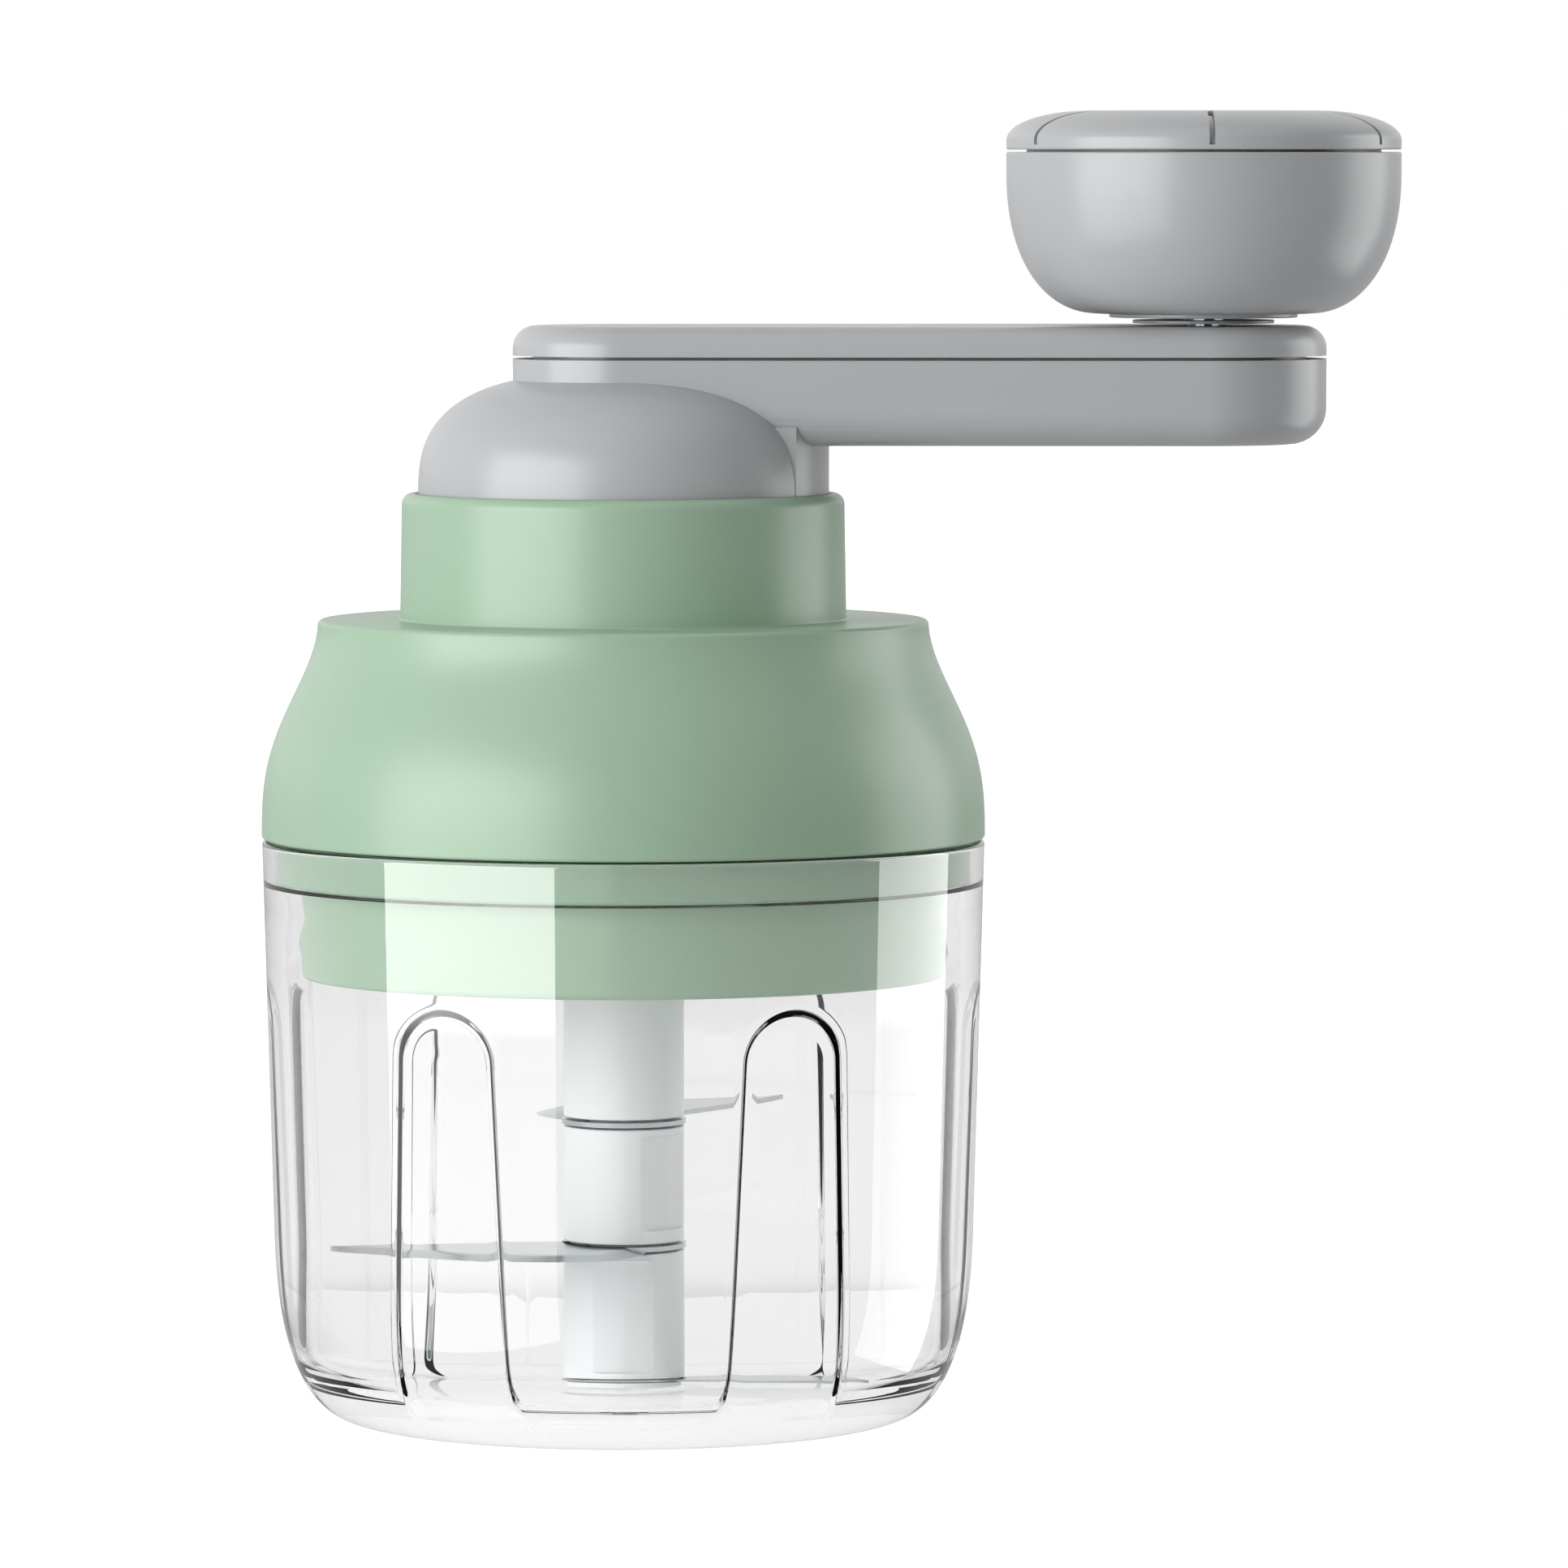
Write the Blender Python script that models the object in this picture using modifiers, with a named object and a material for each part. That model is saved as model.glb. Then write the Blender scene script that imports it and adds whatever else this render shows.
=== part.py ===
"""Hand-cranked vegetable chopper, modelled piece by piece at its real size.

Metres, +Z up. The origin is on the cup's axis, on the surface that the cup stands on,
and the crank arm points along +X at rest. Heights are worked out upwards from the cup.
"""
import math

import bmesh
import bpy
from mathutils import Matrix, Vector

MM = 0.001

# Clearances
SEAT_GAP = 0.3 * MM       # between faces that rest on each other
RUN_GAP = 0.3 * MM        # around shafts, in bushes and sockets
BITE = 0.6 * MM           # how far a joined shape reaches into the piece it joins

# Steps round a turned piece
LARGE_STEPS = 36
MEDIUM_STEPS = 24
SMALL_STEPS = 12
TINY_STEPS = 10
SHARP_DEGREES = 38                # corners sharper than this stay sharp
AXIS_MARK = 10 * MM               # shown size of an empty on a joint's axis

# Cup
CUP_RIM_RADIUS = 45.0 * MM
CUP_HEIGHT = 72.25 * MM
CUP_BASE_RADIUS = 32.3 * MM
CUP_DRAFT = 0.0278                # run-out of the wall for each unit of height
CUP_CORNER_HEIGHT = 24.0 * MM
CUP_CORNER_POWER = 2.5            # fullness of the rounded corner; 2 is an ellipse
CUP_WALL = 2.7 * MM
CUP_FLOOR = 3.65 * MM
CUP_FLOOR_RADIUS = 30.8 * MM
CUP_INNER_CORNER = 8.35 * MM      # height of the inner corner above the floor
RIM_WALL = 1.6 * MM
RIM_DEPTH = 5.25 * MM
FLOOR_RING_RADIUS = 9.8 * MM
FLOOR_RING_WIDTH = 0.9 * MM
FLOOR_RING_HEIGHT = 0.35 * MM
RIB_COUNT = 6
RIB_DEPTH = 1.4 * MM
RIB_TOP_WIDTH = 12.4 * MM
RIB_FOOT_WIDTH = 15.8 * MM
RIB_DROP = 16.85 * MM             # from the cup's rim to the top of a rib's arch

# Pivot in the cup's floor
PIN_RADIUS = 1.6 * MM
PIN_RISE = 12.15 * MM
PIN_CHAMFER = 0.64 * MM
PIN_FLOOR_SKIN = 0.9 * MM
BUSH_WALL = 1.1 * MM
BUSH_CAP = 1.2 * MM
BUSH_FLANGE_WIDTH = 1.3 * MM
BUSH_FLANGE = 0.75 * MM

# Lid
LID_OVERHANG = 0.05 * MM
LID_WALL = 2.2 * MM
BELL_HEIGHT = 27.15 * MM
BELL_TOP_RADIUS = 38.0 * MM
BELL_POWER = 1.43                 # puts the bell's steepest part above its middle
DECK_FILLET = 0.7 * MM
NECK_WALL = 1.9 * MM
NECK_FILLET = 1.3 * MM
NECK_DRAFT = 0.25 * MM
SKIRT_CLEARANCE = 2.05 * MM         # between the skirt and the cup's wall
SKIRT_DEPTH = 16.65 * MM
SKIRT_WALL = 2.0 * MM
PLATE_RECESS = 1.5 * MM
PLATE_THICKNESS = 2.0 * MM
FLANGE_THICKNESS = 2.0 * MM
SEAL_GROOVE = 0.6 * MM
POST_RADIUS = 3.4 * MM
POST_CLEARANCE = 2.9 * MM          # between the posts and the skirt
SCREW_COUNT = 3
SCREW_ANGLE = math.radians(60)
SCREW_RADIUS = 1.4 * MM
SCREW_HEAD_RADIUS = 2.9 * MM
SCREW_HEAD = 0.9 * MM
SCREW_HEAD_CHAMFER = 0.6 * MM
SCREW_LENGTH = 11.0 * MM
PILOT_EXTRA = 1.7 * MM            # pilot hole beyond the screw's tip

# Step-up gear
GEAR_MODULE = 0.8 * MM
SUN_TEETH = 18
PLANET_TEETH = 18
RING_TEETH = SUN_TEETH + 2 * PLANET_TEETH
PLANET_COUNT = 3
PRESSURE_ANGLE = math.radians(20)
ADDENDUM = 0.8                    # in modules
DEDENDUM = 1.2
BACKLASH = 0.32 * MM
GEAR_FACE = 5.9 * MM
RING_RIM = 3.0 * MM
PLANET_PIN_RADIUS = 1.8 * MM
PLANET_PIN_HEAD = 0.8 * MM
PLANET_PIN_HEAD_WIDTH = 1.4 * MM
CARRIER_THICKNESS = 3.0 * MM
CARRIER_SLACK = 0.5 * MM
PILOT_BORE_DEPTH = 2.0 * MM
RETAINER_THICKNESS = 2.0 * MM
RETAINER_WIDTH = 3.8 * MM
HUB_DRIVE_AF = 14.0 * MM
HEX_TURN = math.radians(8)        # how every hexagon on the main axis is turned
HUB_DRIVE_HEIGHT = 6.7 * MM

# Drive shaft, its bushes, clip and seal
SHAFT_RADIUS = 3.6 * MM
SHAFT_NECK_RADIUS = 3.0 * MM
SHAFT_HEX_AF = 6.0 * MM
HEX_REACH = 12.8 * MM             # how far the hexagon reaches into the blade holder
SHAFT_BUSH_WALL = 1.3 * MM
SHAFT_BUSH_FLANGE = 0.8 * MM
SHAFT_BUSH_FLANGE_WIDTH = 2.0 * MM
SHAFT_BUSH_BELOW = 1.0 * MM
CLIP_THICKNESS = 0.8 * MM
CLIP_RADIUS = 5.6 * MM
SEAL_LIP_HEIGHT = 2.5 * MM
SEAL_LIP_RADIUS = 8.0 * MM
SEAL_CUP_WALL = 1.6 * MM

# Blade unit
HOLDER_RADIUS = 7.5 * MM
FOOT_RADIUS = 7.1 * MM
HOLDER_TOP_GAP = 0.5 * MM
FOOT_RISE = 0.45 * MM             # holder's foot above the cup's floor
LOW_BLADE_RISE = 2.95 * MM        # blade planes above the cup's floor
MID_BLADE_RISE = 18.05 * MM
TOP_BLADE_RISE = 33.55 * MM
BLADE_THICKNESS = 0.6 * MM
BLADE_EYE_PROUD = 0.25 * MM
BLADE_TIP_GAP = 0.67 * MM          # between the low blade's tip and the ribs
BLADE_BACK_ANGLE = math.radians(-6)
TOP_BLADE_ANGLE = math.radians(56)
MID_BLADE_ANGLE = math.radians(189)
LOW_BLADE_ANGLE = math.radians(325)
CORE_AF = 9.0 * MM
EYE_BITE = 1.0 * MM               # how far the blade's own outline reaches into its eye
SOCKET_WEB = 2.0 * MM
FOOT_RECESS_WEB = 0.6 * MM
FLAT_DEPTH = 1.0 * MM
FLAT_END = 1.6 * MM
MID_FLAT_ANGLE = math.radians(-42)
LOW_FLAT_ANGLE = math.radians(-90)

# Crank
MOUTH_GAP = 0.35 * MM
HUB_SINK = 2.5 * MM               # hub's lower edge below the neck's lip
HUB_SKIRT = 2.1 * MM
HUB_DOME = 15.4 * MM
HUB_POWER = 2.8
HUB_WALL = 2.7 * MM
HUB_CEILING = 8.5 * MM
HUB_BOSS_WALL = 3.4 * MM
PILLAR_HALF_WIDTH = 13.9 * MM
PILLAR_PROUD = 0.1 * MM
ARM_RISE = 8.6 * MM               # arm's underside above the hub's lower edge
ARM_HEIGHT = 10.6 * MM
ARM_LENGTH = 72.1 * MM
ARM_ROOT_RADIUS = 13.7 * MM
ARM_END_RADIUS = 15.3 * MM
ARM_FILLET = 4.5 * MM
ARM_WALL = 2.2 * MM
ARM_FLOOR = 2.4 * MM
COVER_GAP = 0.4 * MM
COVER_THICKNESS = 3.7 * MM
COVER_FILLET = 2.8 * MM
COVER_LIP_WALL = 1.4 * MM
COVER_LIP_DEPTH = 2.0 * MM
HUB_SCREW_RADIUS = 1.9 * MM
HUB_SCREW_HEAD_RADIUS = 3.6 * MM
HUB_SCREW_HEAD = 2.6 * MM
HUB_SCREW_CHAMFER = 0.9 * MM
WASHER_RADIUS = 4.8 * MM
WASHER_THICKNESS = 0.8 * MM

# Knob
KNOB_RADIUS = 24.5 * MM
KNOB_FLAT_RADIUS = 13.0 * MM
KNOB_POWER = 2.2
KNOB_CURVE_HEIGHT = 17.5 * MM
KNOB_BODY_HEIGHT = 20.0 * MM
KNOB_FOOT_RADIUS = 11.7 * MM
KNOB_FOOT = 0.5 * MM
KNOB_WALL = 2.2 * MM
CAP_HEIGHT = 4.8 * MM
CAP_FLAT_RADIUS = 14.5 * MM
CAP_WALL = 2.0 * MM
CAP_LIP = 3.0 * MM
CAP_SEAM_WALL = 1.2 * MM          # cap's edge above the seam, before the grooves start
GROOVE_COUNT = 6
GROOVE_WIDTH = 0.7 * MM
GROOVE_DEPTH = 0.7 * MM
GROOVE_START = 0.9 * MM
COLLAR_RADIUS = 8.8 * MM
COLLAR_THICKNESS = 0.4 * MM
KNOB_SCREW_RADIUS = 2.6 * MM
KNOB_SCREW_HEAD_RADIUS = 4.8 * MM
KNOB_SCREW_HEAD = 2.4 * MM
KNOB_SCREW_CHAMFER = 0.9 * MM
KNOB_THREAD_RADIUS = 2.0 * MM
KNOB_THREAD_LENGTH = 8.5 * MM
KNOB_BUSH_WALL = 0.8 * MM
KNOB_BUSH_FLANGE = 1.0 * MM
KNOB_TUBE_WALL = 1.7 * MM
KNOB_TUBE_HEIGHT = 12.0 * MM
INSERT_WALL = 1.1 * MM
ARM_BOSS_WALL = 1.8 * MM

# Convex edge of a blade: share of its reach, and degrees behind its tip
BLADE_EDGE = ((0.76, 18), (0.6, 45), (0.46, 75), (0.366, 86), (0.27, 96))
BLADE_HEEL_DEGREES = 108

# Heights that follow from the sizes above
LEDGE_Z = CUP_HEIGHT - RIM_DEPTH
SHELL_Z = CUP_HEIGHT + SEAT_GAP
DECK_Z = SHELL_Z + BELL_HEIGHT
SKIRT_Z = CUP_HEIGHT - SKIRT_DEPTH
PLATE_Z = SKIRT_Z + PLATE_RECESS
PLATE_TOP_Z = PLATE_Z + PLATE_THICKNESS
FLANGE_Z = SHELL_Z + SEAT_GAP
PLANET_PIN_Z = DECK_Z + SEAT_GAP
GEAR_Z = PLANET_PIN_Z + PLANET_PIN_HEAD + SEAT_GAP
GEAR_TOP_Z = GEAR_Z + GEAR_FACE
CARRIER_Z = GEAR_TOP_Z + SEAT_GAP
CARRIER_TOP_Z = CARRIER_Z + CARRIER_THICKNESS
RETAINER_Z = CARRIER_TOP_Z + SEAT_GAP
HUB_Z = RETAINER_Z + RETAINER_THICKNESS + SEAT_GAP
NECK_TOP_Z = HUB_Z + HUB_SINK
ARM_Z = HUB_Z + ARM_RISE
ARM_TOP_Z = ARM_Z + ARM_HEIGHT
ARM_FLOOR_Z = ARM_Z + ARM_FLOOR
COVER_Z = ARM_TOP_Z + COVER_GAP
COVER_TOP_Z = COVER_Z + COVER_THICKNESS
COLLAR_Z = COVER_TOP_Z + SEAT_GAP
KNOB_Z = COLLAR_Z + COLLAR_THICKNESS + RUN_GAP
BOWL_Z = KNOB_Z + KNOB_FOOT
SEAM_Z = BOWL_Z + KNOB_BODY_HEIGHT
CAP_Z = SEAM_Z + SEAT_GAP
CAP_TOP_Z = CAP_Z + CAP_HEIGHT
HOLDER_TOP_Z = PLATE_Z - HOLDER_TOP_GAP
HEX_Z = HOLDER_TOP_Z - HEX_REACH
SOCKET_Z = HEX_Z - SEAT_GAP
CORE_TOP_Z = SOCKET_Z - SOCKET_WEB - SEAT_GAP
LOW_BLADE_Z = CUP_FLOOR + LOW_BLADE_RISE
MID_BLADE_Z = CUP_FLOOR + MID_BLADE_RISE
TOP_BLADE_Z = CUP_FLOOR + TOP_BLADE_RISE
FOOT_Z = CUP_FLOOR + FOOT_RISE
PIN_TOP_Z = CUP_FLOOR + PIN_RISE
FOOT_BUSH_Z = CUP_FLOOR + SEAT_GAP
FOOT_BUSH_TOP_Z = PIN_TOP_Z + SEAT_GAP + BUSH_CAP

# Radii that follow
SHELL_RADIUS = CUP_RIM_RADIUS + LID_OVERHANG
SKIRT_RADIUS = CUP_RIM_RADIUS - CUP_DRAFT * RIM_DEPTH - CUP_WALL - SKIRT_CLEARANCE
PLANET_ORBIT = GEAR_MODULE * (SUN_TEETH + PLANET_TEETH) / 2
RING_ROOT_RADIUS = GEAR_MODULE * (RING_TEETH / 2 + DEDENDUM)
RING_OUTER_RADIUS = RING_ROOT_RADIUS + RING_RIM
POCKET_RADIUS = RING_OUTER_RADIUS + SEAT_GAP
NECK_RADIUS = POCKET_RADIUS + NECK_WALL
HUB_RADIUS = POCKET_RADIUS - MOUTH_GAP
POST_ORBIT = SKIRT_RADIUS - SKIRT_WALL - POST_CLEARANCE - POST_RADIUS
BUSH_BORE = PIN_RADIUS + RUN_GAP
BUSH_RADIUS = BUSH_BORE + BUSH_WALL
CORE_BORE = BUSH_RADIUS + RUN_GAP
SHAFT_BUSH_BORE = SHAFT_RADIUS + RUN_GAP
SHAFT_BUSH_RADIUS = SHAFT_BUSH_BORE + SHAFT_BUSH_WALL
SHAFT_HOLE = SHAFT_BUSH_RADIUS + SEAT_GAP
SEAL_CUP_RADIUS = SEAL_LIP_RADIUS + SEAT_GAP
HUB_BOSS_RADIUS = HUB_DRIVE_AF / 2 / math.cos(math.pi / 6) + SEAT_GAP + HUB_BOSS_WALL
KNOB_BUSH_BORE = KNOB_SCREW_RADIUS + RUN_GAP
KNOB_BUSH_RADIUS = KNOB_BUSH_BORE + KNOB_BUSH_WALL
KNOB_TUBE_BORE = KNOB_BUSH_RADIUS + SEAT_GAP
KNOB_TUBE_RADIUS = KNOB_TUBE_BORE + KNOB_TUBE_WALL
INSERT_BORE = KNOB_THREAD_RADIUS + SEAT_GAP
INSERT_RADIUS = INSERT_BORE + INSERT_WALL
ARM_BOSS_BORE = INSERT_RADIUS + SEAT_GAP
ARM_BOSS_RADIUS = ARM_BOSS_BORE + ARM_BOSS_WALL

# Finishes: sRGB colour, roughness, metallic, alpha
FINISHES = {
    "clear_plastic": ("#EEF2F2", 0.05, 0.0, 0.3),
    "green_plastic": ("#A3BFA7", 0.45, 0.0, 1.0),
    "green_silicone": ("#9DBAA2", 0.6, 0.0, 1.0),
    "grey_plastic": ("#B7B9BB", 0.4, 0.0, 1.0),
    "pale_plastic": ("#DADCDD", 0.4, 0.0, 1.0),
    "gear_plastic": ("#E6E2D6", 0.45, 0.0, 1.0),
    "black_rubber": ("#2A2B2C", 0.7, 0.0, 1.0),
    "bright_steel": ("#C4C8CB", 0.25, 1.0, 1.0),
    "blade_steel": ("#B9BDC0", 0.2, 1.0, 1.0),
    "brass": ("#C9A65A", 0.35, 1.0, 1.0),
}


def clear_scene():
    """Remove every object, so that the script can run again."""
    for obj in list(bpy.data.objects):
        bpy.data.objects.remove(obj, do_unlink=True)


def new_collection(name):
    """Collection of that name in the scene, emptied if it was there."""
    collection = bpy.data.collections.get(name) or bpy.data.collections.new(name)
    if collection.name not in bpy.context.scene.collection.children:
        bpy.context.scene.collection.children.link(collection)
    return collection


def srgb_to_linear(code):
    """Linear colour of a hex sRGB code."""
    values = [int(code[i:i + 2], 16) / 255 for i in (1, 3, 5)]
    return [v / 12.92 if v <= 0.04045 else ((v + 0.055) / 1.055) ** 2.4 for v in values]


def finish_material(name):
    """Principled material of a named finish, made once."""
    material = bpy.data.materials.get(name)
    if material:
        return material
    code, roughness, metallic, alpha = FINISHES[name]
    colour = srgb_to_linear(code)
    material = bpy.data.materials.new(name)
    material.use_nodes = True
    shader = material.node_tree.nodes["Principled BSDF"]
    shader.inputs["Base Color"].default_value = (*colour, 1.0)
    shader.inputs["Roughness"].default_value = roughness
    shader.inputs["Metallic"].default_value = metallic
    shader.inputs["Alpha"].default_value = alpha
    material.diffuse_color = (*colour, alpha)
    return material


def show_as_part(obj, finish, parent=None):
    """Put a finished piece in the part's collection, with its finish and its parent.

    Its modifiers are applied, so that its corners can stay sharp on smooth round faces.
    """
    PARTS.objects.link(obj)
    if obj.modifiers:
        bpy.context.view_layer.update()
        evaluated = obj.evaluated_get(bpy.context.evaluated_depsgraph_get())
        applied = bpy.data.meshes.new_from_object(evaluated)
        obj.modifiers.clear()
        obj.data = applied
        obj.data.name = obj.name
    obj.data.shade_smooth()
    obj.data.set_sharp_from_angle(angle=math.radians(SHARP_DEGREES))
    obj.data.materials.clear()
    obj.data.materials.append(finish_material(finish))
    if parent:
        obj.parent = parent
        obj.matrix_parent_inverse = parent.matrix_world.inverted()
    return obj


def show_as_cutter(obj):
    """Put a shape that only cuts or joins in the cutters' collection."""
    CUTTERS.objects.link(obj)
    obj.hide_render = True
    obj.display_type = "WIRE"
    return obj


def axis_empty(name, x=0.0, y=0.0, z=0.0, parent=None):
    """Empty that marks a joint's axis, which runs along Z through it."""
    empty = bpy.data.objects.new(name, None)
    empty.empty_display_size = AXIS_MARK
    empty.location = (x, y, z)
    PARTS.objects.link(empty)
    bpy.context.view_layer.update()
    if parent:
        empty.parent = parent
        empty.matrix_parent_inverse = parent.matrix_world.inverted()
    bpy.context.view_layer.update()
    return empty


def mesh_object(name, mesh_maker):
    """Object whose mesh is made in bmesh by the given function."""
    mesh = bpy.data.meshes.new(name)
    bm = bmesh.new()
    mesh_maker(bm)
    bm.to_mesh(mesh)
    bm.free()
    return bpy.data.objects.new(name, mesh)


def arc(centre_r, centre_z, radius, start, end, steps):
    """Points (radius, height) on an arc, angles in degrees from the +X side."""
    points = []
    for i in range(steps + 1):
        angle = math.radians(start + (end - start) * i / steps)
        points.append((centre_r + radius * math.cos(angle), centre_z + radius * math.sin(angle)))
    return points


def superellipse(t, power):
    """How far a rounded corner has come in, from 0 at its side (t=0) to 1 at its end (t=1)."""
    return 1 - (1 - min(1.0, max(0.0, t)) ** power) ** (1 / power)


def turned(name, profile, steps, at=(0.0, 0.0)):
    """Solid turned about Z; the profile of (radius, height) runs down its outer side.

    A profile that starts and ends on the axis is a solid piece, any other is a ring.
    """
    mesh = bpy.data.meshes.new(name)
    count = len(profile)
    edges = [(i, i + 1) for i in range(count - 1)]
    if profile[0][0] > 0:
        edges.append((count - 1, 0))
    mesh.from_pydata([(r, 0, z) for r, z in profile], edges, [])
    obj = bpy.data.objects.new(name, mesh)
    obj.location = (at[0], at[1], 0)
    screw = obj.modifiers.new("Turn", "SCREW")
    screw.axis = "Z"
    screw.angle = 2 * math.pi
    screw.steps = steps
    screw.render_steps = steps
    screw.use_merge_vertices = True
    screw.merge_threshold = 0.00001
    screw.use_smooth_shade = True
    return obj


def cylinder(name, radius, bottom, top, steps, at=(0.0, 0.0)):
    """Plain cylinder or, with few steps, prism along Z."""
    def make(bm):
        place = Matrix.Translation((at[0], at[1], (bottom + top) / 2))
        bmesh.ops.create_cone(bm, cap_ends=True, segments=steps, radius1=radius, radius2=radius,
                              depth=top - bottom, matrix=place)
    return mesh_object(name, make)


def hexagon(name, across_flats, bottom, top):
    """Hexagonal prism on the main axis."""
    corner_radius = across_flats / 2 / math.cos(math.pi / 6)
    return repeat_about_z(cylinder(name, corner_radius, bottom, top, 6), 1, HEX_TURN)


def block(name, low, high):
    """Box between two corners."""
    low = Vector(low)
    high = Vector(high)

    def make(bm):
        size = Matrix.Diagonal((*(high - low), 1.0))
        bmesh.ops.create_cube(bm, size=1.0, matrix=Matrix.Translation((low + high) / 2) @ size)
    return mesh_object(name, make)


def prism(name, outlines, bottom, top, matrix=None):
    """Solid between two heights over flat outlines; an outline inside another is a hole."""
    curve = bpy.data.curves.new(name, "CURVE")
    curve.dimensions = "2D"
    curve.fill_mode = "BOTH"
    curve.extrude = (top - bottom) / 2
    for outline in outlines:
        spline = curve.splines.new("POLY")
        spline.points.add(len(outline) - 1)
        for point, (x, y) in zip(spline.points, outline):
            point.co = (x, y, 0, 1)
        spline.use_cyclic_u = True
    return mesh_from_curve(name, curve, (bottom + top) / 2, matrix)


def mesh_from_curve(name, curve, height, matrix=None):
    """Closed mesh object of a filled 2D curve, its caps welded, its place in its mesh."""
    drawn = bpy.data.objects.new(name + "_outline", curve)
    bpy.context.scene.collection.objects.link(drawn)
    bpy.context.view_layer.update()
    evaluated = drawn.evaluated_get(bpy.context.evaluated_depsgraph_get())
    mesh = bpy.data.meshes.new_from_object(evaluated)
    bpy.data.objects.remove(drawn, do_unlink=True)
    place = (matrix or Matrix.Identity(4)) @ Matrix.Translation((0, 0, height))
    bm = bmesh.new()
    bm.from_mesh(mesh)
    bmesh.ops.remove_doubles(bm, verts=bm.verts, dist=0.000001)
    bmesh.ops.transform(bm, matrix=place, verts=bm.verts)
    bmesh.ops.recalc_face_normals(bm, faces=bm.faces)
    bm.to_mesh(mesh)
    bm.free()
    return bpy.data.objects.new(name, mesh)


def repeat_about_z(obj, count, start=0.0):
    """Turn a tool by the start angle and repeat it evenly about Z in one mesh."""
    bm = bmesh.new()
    bm.from_mesh(obj.data)
    bmesh.ops.rotate(bm, cent=(0, 0, 0), matrix=Matrix.Rotation(start, 3, "Z"), verts=bm.verts)
    if count > 1:
        bmesh.ops.spin(bm, geom=bm.verts[:] + bm.edges[:] + bm.faces[:], cent=(0, 0, 0),
                       axis=(0, 0, 1), angle=2 * math.pi * (count - 1) / count,
                       steps=count - 1, use_duplicate=True)
    bm.to_mesh(obj.data)
    bm.free()
    return obj


def bevel_level_edges(obj, height, width, segments):
    """Round the loop of edges that lies at one height."""
    bm = bmesh.new()
    bm.from_mesh(obj.data)
    edges = [e for e in bm.edges
             if all(abs(v.co.z - height) < 0.00001 for v in e.verts)
             and any(abs(f.normal.z) < 0.5 for f in e.link_faces)]
    bmesh.ops.bevel(bm, geom=edges, offset=width, segments=segments, profile=0.5,
                    affect="EDGES", clamp_overlap=True)
    bm.to_mesh(obj.data)
    bm.free()
    return obj


def boolean(obj, tool, operation):
    """Add a boolean with a tool shape, which moves to the cutters' collection."""
    if tool.name not in CUTTERS.objects:
        show_as_cutter(tool)
    modifier = obj.modifiers.new(tool.name, "BOOLEAN")
    modifier.operation = operation
    modifier.solver = "EXACT"
    modifier.object = tool
    return obj


def polar(radius, angle):
    """Point at a radius and angle."""
    return (radius * math.cos(angle), radius * math.sin(angle))


def cup_outer_radius(z):
    """Outer radius of the cup at a height: a drafted wall over a rounded corner."""
    wall = CUP_RIM_RADIUS - CUP_DRAFT * (CUP_HEIGHT - z)
    foot = CUP_RIM_RADIUS - CUP_DRAFT * CUP_HEIGHT
    return wall - (foot - CUP_BASE_RADIUS) * superellipse(1 - z / CUP_CORNER_HEIGHT, CUP_CORNER_POWER)


def cup_inner_radius(z):
    """Inner radius of the cup below its ledge."""
    wall = CUP_RIM_RADIUS - CUP_DRAFT * (CUP_HEIGHT - z) - CUP_WALL
    foot = CUP_RIM_RADIUS - CUP_DRAFT * (CUP_HEIGHT - CUP_FLOOR) - CUP_WALL
    t = 1 - (z - CUP_FLOOR) / CUP_INNER_CORNER
    return wall - (foot - CUP_FLOOR_RADIUS) * superellipse(t, CUP_CORNER_POWER)


def corner_heights(bottom, top, steps):
    """Heights up a rounded corner, close together near its bottom."""
    return [bottom + (top - bottom) * (1 - math.cos(math.pi / 2 * i / steps)) ** 1.15
            for i in range(steps + 1)]


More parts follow.
